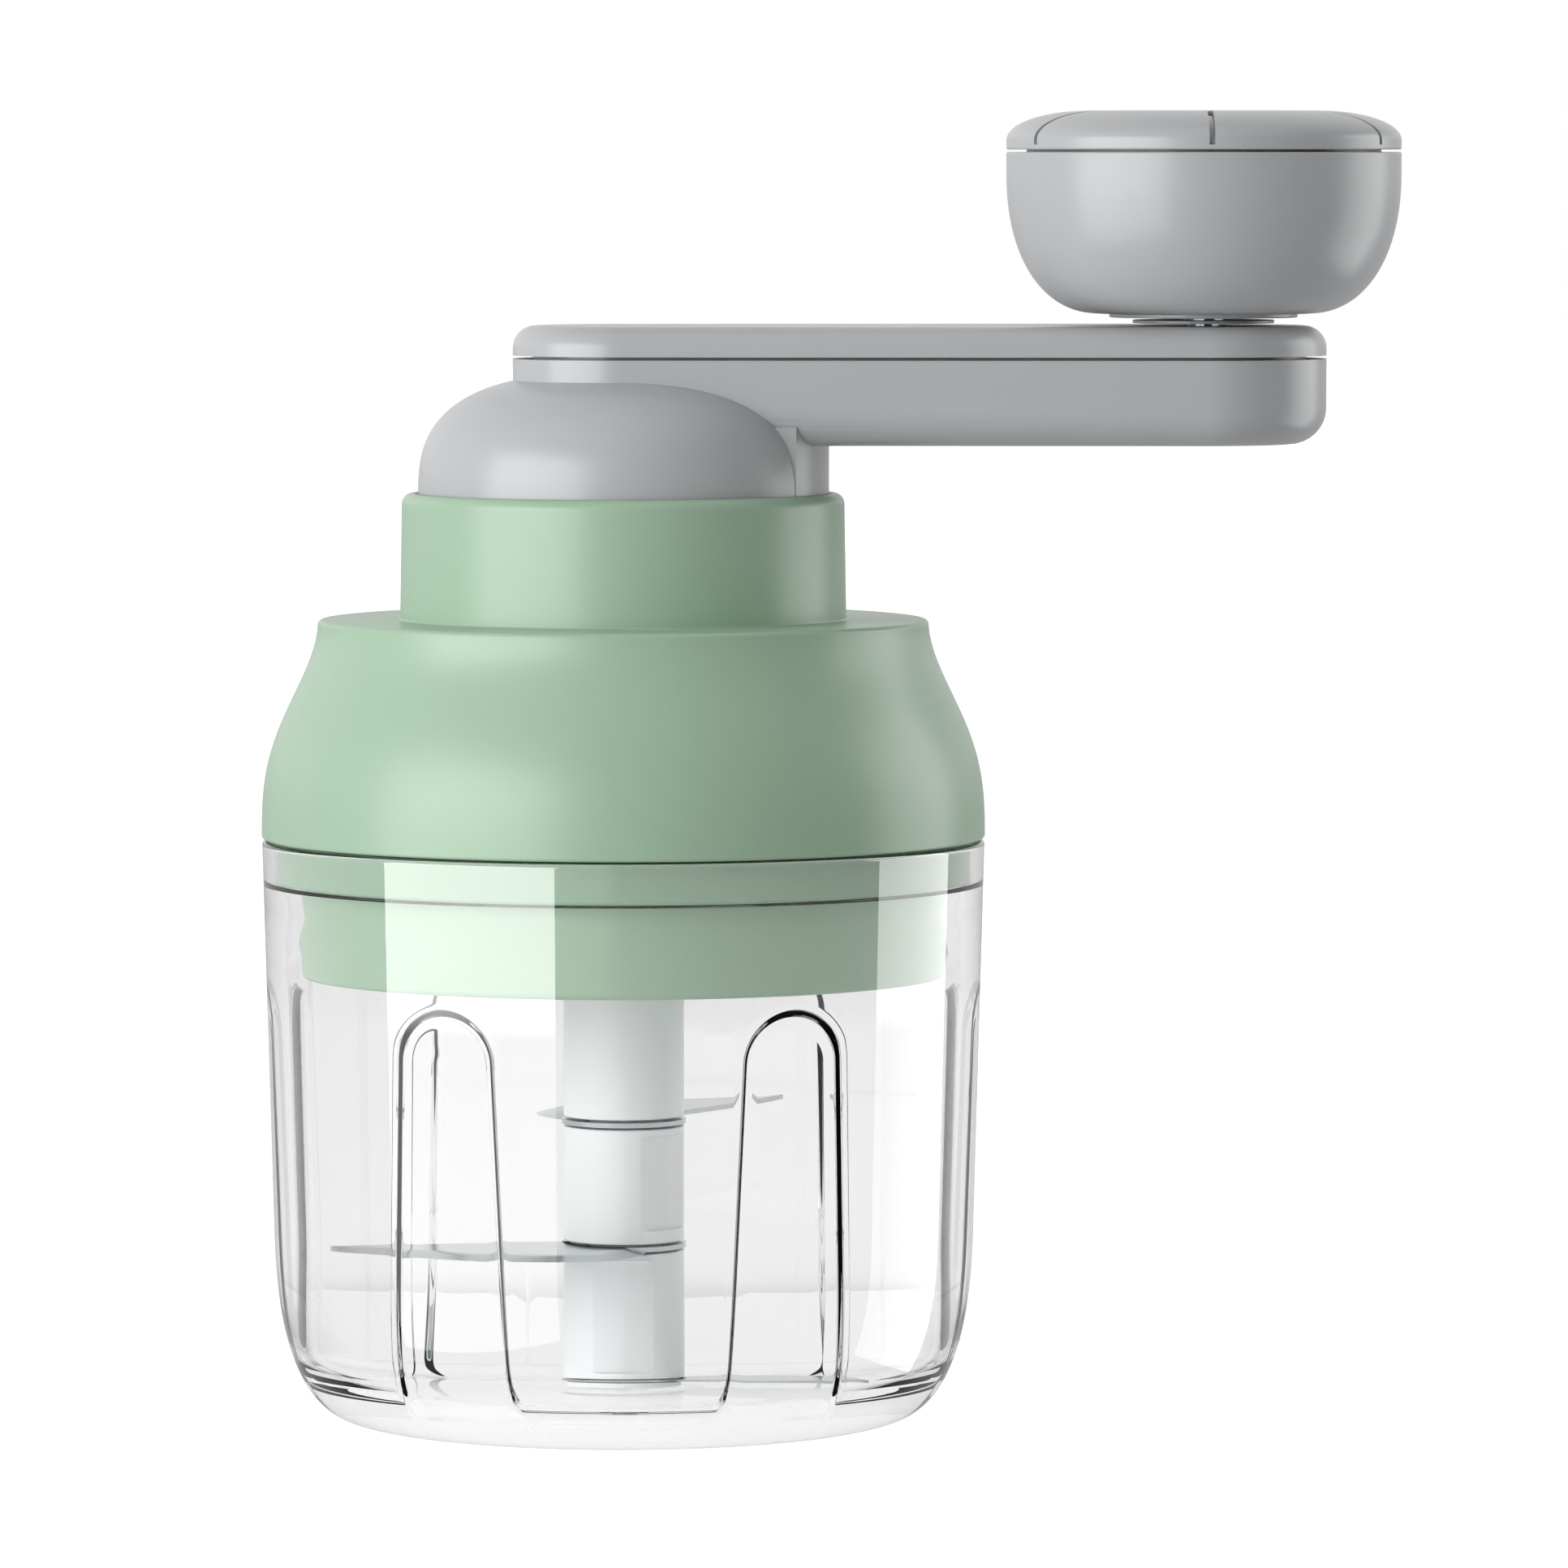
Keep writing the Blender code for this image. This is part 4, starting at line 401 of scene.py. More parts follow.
def pick(piece: bpy.types.Object, kind: Element, test: Callable) -> None:
    """Select what passes a test, in edit mode.

    Args:
        piece: The piece that is being edited.
        kind: Whether edges or faces are selected.
        test: Takes one element of that kind, and is true for those to select.
    """
    bpy.ops.mesh.select_mode(type=kind.value)
    bpy.ops.mesh.select_all(action="DESELECT")
    mesh = bmesh.from_edit_mesh(piece.data)
    for element in mesh.edges if kind is Element.EDGE else mesh.faces:
        element.select_set(bool(test(element)))
    mesh.select_flush_mode()
    bmesh.update_edit_mesh(piece.data)


def round_edges(piece: bpy.types.Object, width: float, steps: int, test: Callable) -> None:
    """Round the edges that pass a test.

    Args:
        piece: The piece.
        width: Width of the rounding on the faces beside it.
        steps: Faces across the rounding.
        test: Takes an edge, and is true for those to round.
    """
    open_mesh(piece)
    pick(piece, Element.EDGE, test)
    bpy.ops.mesh.bevel(offset=width, segments=steps, profile=0.5, affect="EDGES")
    close_mesh()


def fillet(outline: Outline, steps: int = FILLET_STEPS) -> Profile:
    """Round the corners of an outline.

    Args:
        outline: Corners of the section.
        steps: Pieces that each rounded corner is drawn with.

    Returns:
        The points of the rounded section.
    """
    rounded: Profile = []
    for i, point in enumerate(outline):
        if len(point) < 3 or i in (0, len(outline) - 1):
            rounded.append((point[0], point[1]))
            continue
        corner = Vector(point[:2])
        before = (Vector(outline[i - 1][:2]) - corner).normalized()
        after = (Vector(outline[i + 1][:2]) - corner).normalized()
        half = before.angle(after) / 2
        reach = point[2] / math.tan(half)
        centre = corner + (before + after).normalized() * point[2] / math.sin(half)
        start = corner + before * reach - centre
        end = corner + after * reach - centre
        arc = [tuple(centre + start.slerp(end, step / steps).normalized() * point[2])
               for step in range(steps + 1)]
        for neighbour, way, place in ((outline[i - 1], before, 0), (outline[i + 1], after, len(arc) + 1)):
            taken = reach + (ROUNDING_REACH * neighbour[2] if len(neighbour) > 2 else 0.0)
            if (Vector(neighbour[:2]) - corner).length - taken > SUPPORT_ROOM:
                arc.insert(place, tuple(corner + way * (reach + SUPPORT)))
        rounded += arc
    return rounded


def add_primitive(operator: Callable, name: str, **settings) -> bpy.types.Object:
    """Add a primitive while nothing else is selected.

    Args:
        operator: Operator that adds it.
        name: Name of the piece.
        **settings: The operator's settings, such as its size and place.

    Returns:
        The piece, with its place in its mesh.
    """
    bpy.ops.object.select_all(action="DESELECT")
    operator(**settings)
    piece = bpy.context.object
    piece.name = name
    settle(piece)
    return piece


def turned(name: str, profile: Profile, steps: int = LARGE_STEPS, x: float = 0.0) -> bpy.types.Object:
    """Extrude one corner along a section and turn the line about an upright axis.

    Args:
        name: Name of the piece.
        profile: Points along the section.
        steps: Faces round the axis.
        x: Where the axis stands on X.

    Returns:
        The closed piece.
    """
    points = [Vector((x + radius, 0.0, height)) for radius, height in profile]
    piece = add_primitive(bpy.ops.mesh.primitive_plane_add, name, size=MM, location=points[0])
    open_mesh(piece)
    bpy.ops.mesh.select_all(action="SELECT")
    bpy.ops.mesh.merge(type="CENTER")
    for here, there in zip(points, points[1:]):
        bpy.ops.mesh.extrude_vertices_move(TRANSFORM_OT_translate={"value": there - here})
    bpy.ops.mesh.select_all(action="SELECT")
    bpy.ops.mesh.spin(steps=steps, angle=2 * math.pi, center=(x, 0, 0), axis=(0, 0, 1))
    weld()
    close_outwards()
    return piece


def ring(name: str, outline: Outline, steps: int = LARGE_STEPS, x: float = 0.0) -> bpy.types.Object:
    """Turn a closed section into a ring.

    Args:
        name: Name of the piece.
        outline: Corners of the section, of which the first isn't rounded.
        steps: Faces round the axis.
        x: Where the axis stands on X.

    Returns:
        The closed ring.
    """
    return turned(name, fillet(outline + [outline[0][:2]]), steps, x)


def cylinder(name: str, radius: float, bottom: float, top: float, steps: int = SMALL_STEPS,
             at: tuple[float, float] = (0.0, 0.0), turn: float = 0.0) -> bpy.types.Object:
    """Add an upright cylinder, or a prism where it has few sides.

    Args:
        name: Name of the piece.
        radius: Radius to its corners.
        bottom: Height of its lower face.
        top: Height of its upper face.
        steps: Number of sides.
        at: Where its axis stands.
        turn: How far it is turned about its axis.

    Returns:
        The cylinder.
    """
    return add_primitive(bpy.ops.mesh.primitive_cylinder_add, name, vertices=steps, radius=radius,
                         depth=top - bottom, location=(*at, (bottom + top) / 2), rotation=(0, 0, turn))


def hexagon(name: str, flats: float, bottom: float, top: float) -> bpy.types.Object:
    """Add a hexagonal prism on the main axis, turned as the drive's hexagons are."""
    return cylinder(name, flats / 2 / math.cos(math.pi / 6), bottom, top, 6, turn=HEXAGON_TURN)


def block(name: str, low: Place, high: Place) -> bpy.types.Object:
    """Add a box between two corners."""
    return add_primitive(bpy.ops.mesh.primitive_cube_add, name, size=1.0,
                         location=(Vector(low) + Vector(high)) / 2, scale=Vector(high) - Vector(low))


def grid(name: str, columns: int, rows: int, place: Callable[[int, int], Place]) -> bpy.types.Object:
    """Add a grid and bend it into shape.

    Args:
        name: Name of the piece.
        columns: Faces along its first side.
        rows: Faces along its second side.
        place: Takes a corner's column and row, and gives its place.

    Returns:
        The open surface.
    """
    piece = add_primitive(bpy.ops.mesh.primitive_grid_add, name, x_subdivisions=columns, y_subdivisions=rows,
                          size=2.0)
    for vertex in piece.data.vertices:
        vertex.co = place(round((vertex.co.x + 1) / 2 * columns), round((vertex.co.y + 1) / 2 * rows))
    return piece


def combine(piece: bpy.types.Object, tool: bpy.types.Object, cut: Cut) -> None:
    """Join or cut a piece with a tool by a Boolean modifier, and apply it.

    Args:
        piece: The piece that is changed.
        tool: The shape that it is changed with, which is then removed.
        cut: How the tool is used.
    """
    activate(piece)
    bpy.ops.object.modifier_add(type="BOOLEAN")
    modifier = piece.modifiers[-1]
    modifier.operation = cut.value
    modifier.solver = "EXACT"
    modifier.object = tool
    bpy.ops.object.modifier_apply(modifier=modifier.name)
    bpy.data.objects.remove(tool, do_unlink=True)


def finish_piece(piece: bpy.types.Object, finish: Finish, body: str, *nodes: str,
                 material: bpy.types.Material | None = None) -> None:
    """Shade and dress a finished piece, and let it ride on its body.

    Args:
        piece: The finished piece.
        finish: Its finish.
        body: Body that it moves with.
        *nodes: Solids that it stands for.
        material: Its material, where it isn't the finish's own.
    """
    activate(piece)
    bpy.ops.object.shade_smooth_by_angle(angle=CREASE)
    piece.data.materials.clear()
    piece.data.materials.append(material or finish.material())
    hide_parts(*nodes)
    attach(piece, body)
    finish.slot
    LOG.info("%s: %d faces, rides on %s", piece.name, len(piece.data.polygons), body)


def clamp(share: float) -> float:
    """Keep a share from 0 to 1."""
    return min(1.0, max(0.0, share))


def superellipse(share: float, power: float) -> float:
    """How far a rounded corner has come in, from 0 at its side to 1 at its end."""
    return 1 - (1 - clamp(share) ** power) ** (1 / power)


def smooth_step(share: float) -> float:
    """Ease from 0 to 1."""
    share = clamp(share)
    return share * share * (3 - 2 * share)


def mix(start: float, end: float, share: float) -> float:
    """Value between two others."""
    return start + (end - start) * share


@dataclass
class Cup:
    """Clear cup with six ribs inside, and the pin that the blades turn on."""

    rim_radius: float = 45.0 * MM
    base_radius: float = 32.3 * MM
    draft: float = 0.0278          # run-out of the wall for each unit of height
    corner_height: float = 24.0 * MM
    corner_power: float = 2.5
    wall: float = 2.7 * MM
    floor: float = 3.65 * MM
    floor_radius: float = 30.8 * MM
    inner_corner: float = 8.35 * MM
    rim_wall: float = 1.6 * MM
    rim_edge: float = 0.4 * MM     # radius on the rim's inner edges
    ledge_root: float = 0.25 * MM  # radius where the wall meets the ledge
    ring_radius: float = 9.8 * MM
    ring_width: float = 0.9 * MM
    ring_height: float = 0.35 * MM
    ring_root: float = 0.12 * MM   # radius at its foot
    rib_count: int = 6
    rib_depth: float = 1.4 * MM
    rib_top_width: float = 12.4 * MM
    rib_foot_width: float = 15.8 * MM
    rib_drop: float = 18.7 * MM
    rib_side: float = 1.1 * MM     # width of a rib's rounded side
    patch_top: float = CUP_LEDGE - 3.0 * MM            # height at which the ribbed part of the wall ends
    patch_columns: int = 40        # faces across the wall for each rib
    arch_shoulder: int = 6         # faces of the arch that meet each upright border
    upright_rows: int = 44         # faces up a rib's straight side
    core_loops: int = 4            # loops of faces on a rib's flat
    side_loops: int = 10           # loops of faces over a rib's rounded side
    outer_loops: int = 8           # loops of faces between a rib and the patch's border
    row_crowding: float = 1.4      # power that crowds the upright rows towards the floor
    loop_crowding: float = 1.3     # power that crowds the outer loops towards the rib
    section_points: int = 400      # points at which the wall's section is measured
    section_crowding: float = 2.2  # power that crowds them towards the floor
    wall_rows: int = 12            # rows of faces down the outside's wall
    corner_rows: int = 30          # and round its corner
    corner_crowding: float = 1.15  # power that crowds the corner's rows towards the base
    pin_radius: float = 1.6 * MM
    pin_skin: float = 0.9 * MM     # floor left under the pin
    pin_rise: float = 12.15 * MM
    pocket_edge: float = 0.1 * MM
    underside: ClearStyrene = ClearStyrene("clear_styrene_underside", tint="#F0F0F0", ior=1.0)

    def outer_radius(self, z: float) -> float:
        """Outer radius at a height: a drafted wall over a rounded corner.

        Args:
            z: The height.

        Returns:
            The radius.
        """
        side = self.rim_radius - self.draft * (CUP_HEIGHT - z)
        foot = self.rim_radius - self.draft * CUP_HEIGHT
        share = superellipse(1 - z / self.corner_height, self.corner_power)
        return side - (foot - self.base_radius) * share

    def inner_radius(self, z: float) -> float:
        """Inner radius between the ribs at a height.

        Args:
            z: The height.

        Returns:
            The radius.
        """
        side = self.rim_radius - self.draft * (CUP_HEIGHT - z) - self.wall
        foot = self.rim_radius - self.draft * (CUP_HEIGHT - self.floor) - self.wall
        share = superellipse(1 - (z - self.floor) / self.inner_corner, self.corner_power)
        return side - (foot - self.floor_radius) * share

    def inner_line(self) -> list[Place]:
        """Section of the inner wall, from the floor to the top of the ribbed part.

        Returns:
            Points (distance along the section, radius, height), close together.
        """
        points: list[Place] = []
        travelled = 0.0
        for i in range(self.section_points + 1):
            z = mix(self.floor, self.patch_top, (i / self.section_points) ** self.section_crowding)
            radius = self.inner_radius(z)
            if points:
                travelled += math.hypot(radius - points[-1][1], z - points[-1][2])
            points.append((travelled, radius, z))
        return points

    def wall_patch(self) -> bpy.types.Object:
        """Model a sixth of the inner wall, with one rib, as a grid that follows the rib's outline.

        The grid's rows are loops round the rib, from its middle line out to the patch's border, and
        its columns run up one side of the rib, over its arch and down the other side.

        Returns:
            The open patch.
        """
        line = self.inner_line()
        length = line[-1][0]
        half_top = self.rib_top_width / 2
        half_foot = self.rib_foot_width / 2
        spring_z = CUP_HEIGHT - self.rib_drop - half_top
        spring = next(point[0] for point in line if point[2] >= spring_z)
        arch_faces = self.patch_columns + 2 * self.arch_shoulder
        columns = 2 * self.upright_rows + arch_faces
        border = math.pi / self.rib_count

        def wall_at(up: float) -> tuple[float, float]:
            """Find the wall at a distance up its section.

            Args:
                up: The distance.

            Returns:
                The wall's radius and height there.
            """
            after = min(max(1, bisect_left(line, (up,))), len(line) - 1)
            low, high = line[after - 1], line[after]
            share = (up - low[0]) / (high[0] - low[0])
            return (mix(low[1], high[1], share), mix(low[2], high[2], share))

        def loop_point(column: int, share: float, offset: float) -> tuple[float, float]:
            """Find a point of a loop, which is the rib's outline scaled and then set out.

            Args:
                column: Column of the grid.
                share: What the outline is scaled by.
                offset: How far it is set out.

            Returns:
                The point's distance sideways and up.
            """
            if self.upright_rows <= column <= columns - self.upright_rows:
                angle = math.pi * (1 - (column - self.upright_rows) / arch_faces)
                radius = half_top * share + offset
                return (radius * math.cos(angle), spring + radius * math.sin(angle))
            up = spring * (min(column, columns - column) / self.upright_rows) ** self.row_crowding
            half = mix(half_foot, half_top, up / spring) * share + offset
            return (-half if column < columns / 2 else half, up)

        def border_point(column: int) -> tuple[float, float]:
            """Find where a column ends on the patch's border.

            Args:
                column: Column of the grid.

            Returns:
                The point's angle and its distance up.
            """
            across = column - self.upright_rows - self.arch_shoulder
            if 0 <= across <= self.patch_columns:
                return (border * (2 * across / self.patch_columns - 1), length)
            side = -border if column < columns / 2 else border
            from_foot = min(column, columns - column)
            if from_foot <= self.upright_rows:
                return (side, loop_point(from_foot, 1.0, 0.0)[1])
            return (side, mix(spring, length, (from_foot - self.upright_rows) / self.arch_shoulder))

        def place(column: int, row: int) -> Place:
            """Find the place of a corner of the grid.

            Args:
                column: Its column.
                row: Its row, which is the number of its loop.

            Returns:
                The place.
            """
            side_row = row - self.core_loops
            share = min(1.0, row / self.core_loops)
            offset = self.rib_side * (clamp(side_row / self.side_loops) - 0.5) * share
            side, up = loop_point(column, share, offset)
            depth = self.rib_depth * smooth_step(0.5 - offset / self.rib_side if share == 1.0 else 1.0)
            angle = math.asin(side / (wall_at(up)[0] - depth))
            if side_row > self.side_loops:
                out = ((side_row - self.side_loops) / self.outer_loops) ** self.loop_crowding
                border_angle, border_up = border_point(column)
                angle = mix(angle, border_angle, out)
                up = mix(up, border_up, out)
            radius, z = wall_at(up)
            turn = angle + border - math.pi / 2
            return ((radius - depth) * math.cos(turn), (radius - depth) * math.sin(turn), z)

        return grid("clear_cup", columns, self.core_loops + self.side_loops + self.outer_loops, place)

    def outside_line(self) -> Profile:
        """Section from the top of the ribbed wall over the rim and down the outside.

        Returns:
            Points (radius, height), down to the middle of the base.
        """
        top = self.patch_top
        rim_in = self.rim_radius - self.rim_wall
        line = fillet([
            (self.inner_radius(top), top), (self.inner_radius(CUP_LEDGE), CUP_LEDGE, self.ledge_root),
            (rim_in, CUP_LEDGE, self.rim_edge), (rim_in, CUP_HEIGHT, self.rim_edge),
            (self.rim_radius, CUP_HEIGHT, WIDE_EDGE), (self.outer_radius(top), top)])[:-1]
        heights = [mix(top, self.corner_height, i / self.wall_rows) for i in range(self.wall_rows)]
        for i in range(self.corner_rows + 1):
            share = (1 - math.sin(math.pi / 2 * i / self.corner_rows)) ** self.corner_crowding
            heights.append(self.corner_height * share)
        return line + [(self.outer_radius(z), z) for z in heights] + [(0.0, 0.0)]

    def floor_line(self) -> Profile:
        """Section of the floor, from inside the ribs over its ring and down the pin's pocket.

        Returns:
            Points (radius, height).
        """
        ring_in = self.ring_radius - self.ring_width / 2
        ring_out = self.ring_radius + self.ring_width / 2
        ring_top = self.floor + self.ring_height
        pocket = self.pin_radius + GAP
        return fillet([
            (self.floor_radius - 2 * self.rib_depth, self.floor), (ring_out, self.floor, self.ring_root),
            (ring_out, ring_top, FINE_EDGE), (ring_in, ring_top, FINE_EDGE),
            (ring_in, self.floor, self.ring_root), (pocket, self.floor, self.pocket_edge),
            (pocket, self.pin_skin), (0.0, self.pin_skin)])

    def build(self) -> None:
        """Build the cup and its pin."""
        self.build_cup()
        self.build_pin()

    def build_cup(self) -> None:
        """Build the cup from its ribbed wall, its turned outside and its floor."""
        cup = self.wall_patch()
        open_mesh(cup)
        bpy.ops.mesh.select_all(action="SELECT")
        copies = self.rib_count - 1
        bpy.ops.mesh.spin(steps=copies, dupli=True, angle=2 * math.pi * copies / self.rib_count,
                          center=(0, 0, 0), axis=(0, 0, 1))
        weld()
        close_mesh()
        join(cup, turned("cup_outside", self.outside_line()), turned("cup_floor", self.floor_line()))
        open_mesh(cup)
        weld()
        pick(cup, Element.EDGE, lambda edge: edge.is_boundary and at_height(edge, self.floor))
        bpy.ops.mesh.fill(use_beauty=True)
        close_outwards()
        finish_piece(cup, Finish.CLEAR, "base", "cup")

        # The underside doesn't bend light, so that the corner of the floor doesn't turn black.
        cup.data.materials.append(self.underside.material())
        open_mesh(cup)
        pick(cup, Element.FACE, lambda face: at_height(face, 0.0))
        cup.active_material_index = 1
        bpy.ops.object.material_slot_assign()
        close_mesh()

    def build_pin(self) -> None:
        """Build the pin in the floor."""
        bottom = self.pin_skin + GAP
        top = self.floor + self.pin_rise
        pin = turned("pivot_pin", fillet([
            (0.0, bottom), (self.pin_radius, bottom, SMALL_EDGE), (self.pin_radius, top, WIDE_EDGE),
            (0.0, top)]), SMALL_STEPS)
        finish_piece(pin, Finish.STEEL, "base", "cup_pivot_pin")


@dataclass
class Lid:
    """Green lid: bell with its neck, inner lid with its skirt, sealing ring and screws."""

    shell_z: float = CUP_HEIGHT + GAP
    shell_radius: float = 45.05 * MM
    wall: float = 2.2 * MM
    bell_height: float = 27.15 * MM
    bell_top_radius: float = 38.0 * MM
    bell_power: float = 1.43       # puts the bell's steepest part above its middle
    bell_rows: int = 44
    deck_room: float = 0.7 * MM    # height kept for the deck's rounded edge
    deck_edge: float = 0.63 * MM
    neck_radius: float = 27.76 * MM
    neck_wall: float = 1.9 * MM
    neck_draft: float = 0.25 * MM
    neck_root: float = 0.25 * MM
    neck_edge: float = 1.3 * MM
    neck_top: float = 115.4 * MM
    shell_fillet_steps: int = 7
    shaft_hole: float = 5.5 * MM
    skirt_radius: float = 40.104 * MM
    skirt_wall: float = 2.0 * MM
    skirt_z: float = 55.6 * MM
    plate_recess: float = 1.5 * MM
    plate: float = 2.0 * MM
    flange: float = 2.0 * MM
    seal_groove: float = 0.6 * MM
    seal_outer: float = 43.1 * MM
    screw_head: float = 0.9 * MM   # thickness of a screw's head
    screw_shank: float = 1.4 * MM
    screw_fillet_steps: int = 4
    recess_depth: float = 0.55 * MM
    recess_reach: float = 1.9 * MM
    recess_half_width: float = 0.45 * MM

    @property
    def deck(self) -> float:
        """Height of the deck round the neck."""
        return self.shell_z + self.bell_height

    def bell_radius(self, z: float) -> float:
        """Outer radius of the bell at a height.

        Args:
            z: The height.

        Returns:
            The radius.
        """
        share = (z - self.shell_z) / self.bell_height
        fall = (1 - math.cos(math.pi * share ** self.bell_power)) / 2
        return self.shell_radius - (self.shell_radius - self.bell_top_radius) * fall

    def build(self) -> None:
        """Build every piece of the lid."""
        self.build_shell()
        self.build_inner_lid()
        for number in (1, 2, 3):
            self.build_screw(number)

    def build_shell(self) -> None:
        """Build the bell with its deck and neck, from its lower edge over the neck and back inside."""
        pocket = self.neck_radius - self.neck_wall
        under_deck = self.deck - self.wall
        inner_rows = self.bell_rows // 2
        outline: Outline = [(self.shell_radius - self.wall, self.shell_z),
                            (self.shell_radius, self.shell_z, SOFT_EDGE)]
        for i in range(1, self.bell_rows + 1):
            z = mix(self.shell_z, self.deck - self.deck_room, i / self.bell_rows)
            outline.append((self.bell_radius(z), z))
        outline += [(self.bell_top_radius, self.deck, self.deck_edge),
                    (self.neck_radius, self.deck, self.neck_root),
                    (self.neck_radius - self.neck_draft, self.neck_top, self.neck_edge),
                    (pocket, self.neck_top, PLAIN_EDGE), (pocket, self.deck), (self.shaft_hole, self.deck),
                    (self.shaft_hole, under_deck)]
        for i in range(inner_rows + 1):
            z = mix(under_deck, self.shell_z, i / inner_rows)
            outline.append((self.bell_radius(z) - self.wall, z))
        shell = turned("lid_bell", fillet(outline, self.shell_fillet_steps))
        finish_piece(shell, Finish.GREEN, "lid", "lid_shell")

    def build_inner_lid(self) -> None:
        """Build the inner lid and the sealing ring in its groove."""
        skirt_in = self.skirt_radius - self.skirt_wall
        groove = self.skirt_radius - self.seal_groove
        flange_z = self.shell_z + GAP
        flange_top = flange_z + self.flange
        flange_radius = self.shell_radius - self.wall - GAP
        plate_z = self.skirt_z + self.plate_recess
        plate_top = plate_z + self.plate
        inner = ring("inner_lid", [
            (self.shaft_hole, plate_z), (skirt_in, plate_z, SOFT_EDGE), (skirt_in, self.skirt_z, SOFT_EDGE),
            (self.skirt_radius, self.skirt_z, 2 * SOFT_EDGE), (self.skirt_radius, CUP_LEDGE),
            (groove, CUP_LEDGE), (groove, flange_z), (flange_radius, flange_z), (flange_radius, flange_top),
            (skirt_in, flange_top), (skirt_in, plate_top), (self.shaft_hole, plate_top)])
        finish_piece(inner, Finish.GREEN, "lid", "lid_inner")

        seal_in = groove + GAP
        seal_z = CUP_LEDGE + GAP
        seal = ring("sealing_ring", [
            (seal_in, seal_z, SOFT_EDGE), (self.seal_outer, seal_z, SOFT_EDGE),
            (self.seal_outer, CUP_HEIGHT, SOFT_EDGE), (seal_in, CUP_HEIGHT, SOFT_EDGE)])
        finish_piece(seal, Finish.SEAL, "lid", "lid_seal_ring")

    def build_screw(self, number: int) -> None:
        """Build a screw with its cross recess where its solid stands.

        Args:
            number: Number of the screw.
        """
        node = "lid_screw_%d" % number
        low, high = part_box(node)
        centre = (low + high) / 2
        head = (high.x - low.x) / 2
        head_top = low.z + self.screw_head
        screw = turned("cover_screw_%d" % number, fillet([
            (0.0, low.z), (head, low.z, WIDE_EDGE), (head, head_top), (self.screw_shank, head_top),
            (self.screw_shank, high.z, WIDE_EDGE), (0.0, high.z)], self.screw_fillet_steps), SCREW_STEPS)
        long = self.recess_reach
        wide = self.recess_half_width
        bottom = low.z - self.recess_depth
        top = low.z + self.recess_depth
        cross = block("cross_recess", (-long, -wide, bottom), (long, wide, top))
        combine(cross, block("cross_recess_across", (-wide, -long, bottom), (wide, long, top)), Cut.JOIN)
        combine(screw, cross, Cut.REMOVE)
        screw.location = (centre.x, centre.y, 0.0)
        settle(screw)
        finish_piece(screw, Finish.STEEL, "lid", node)


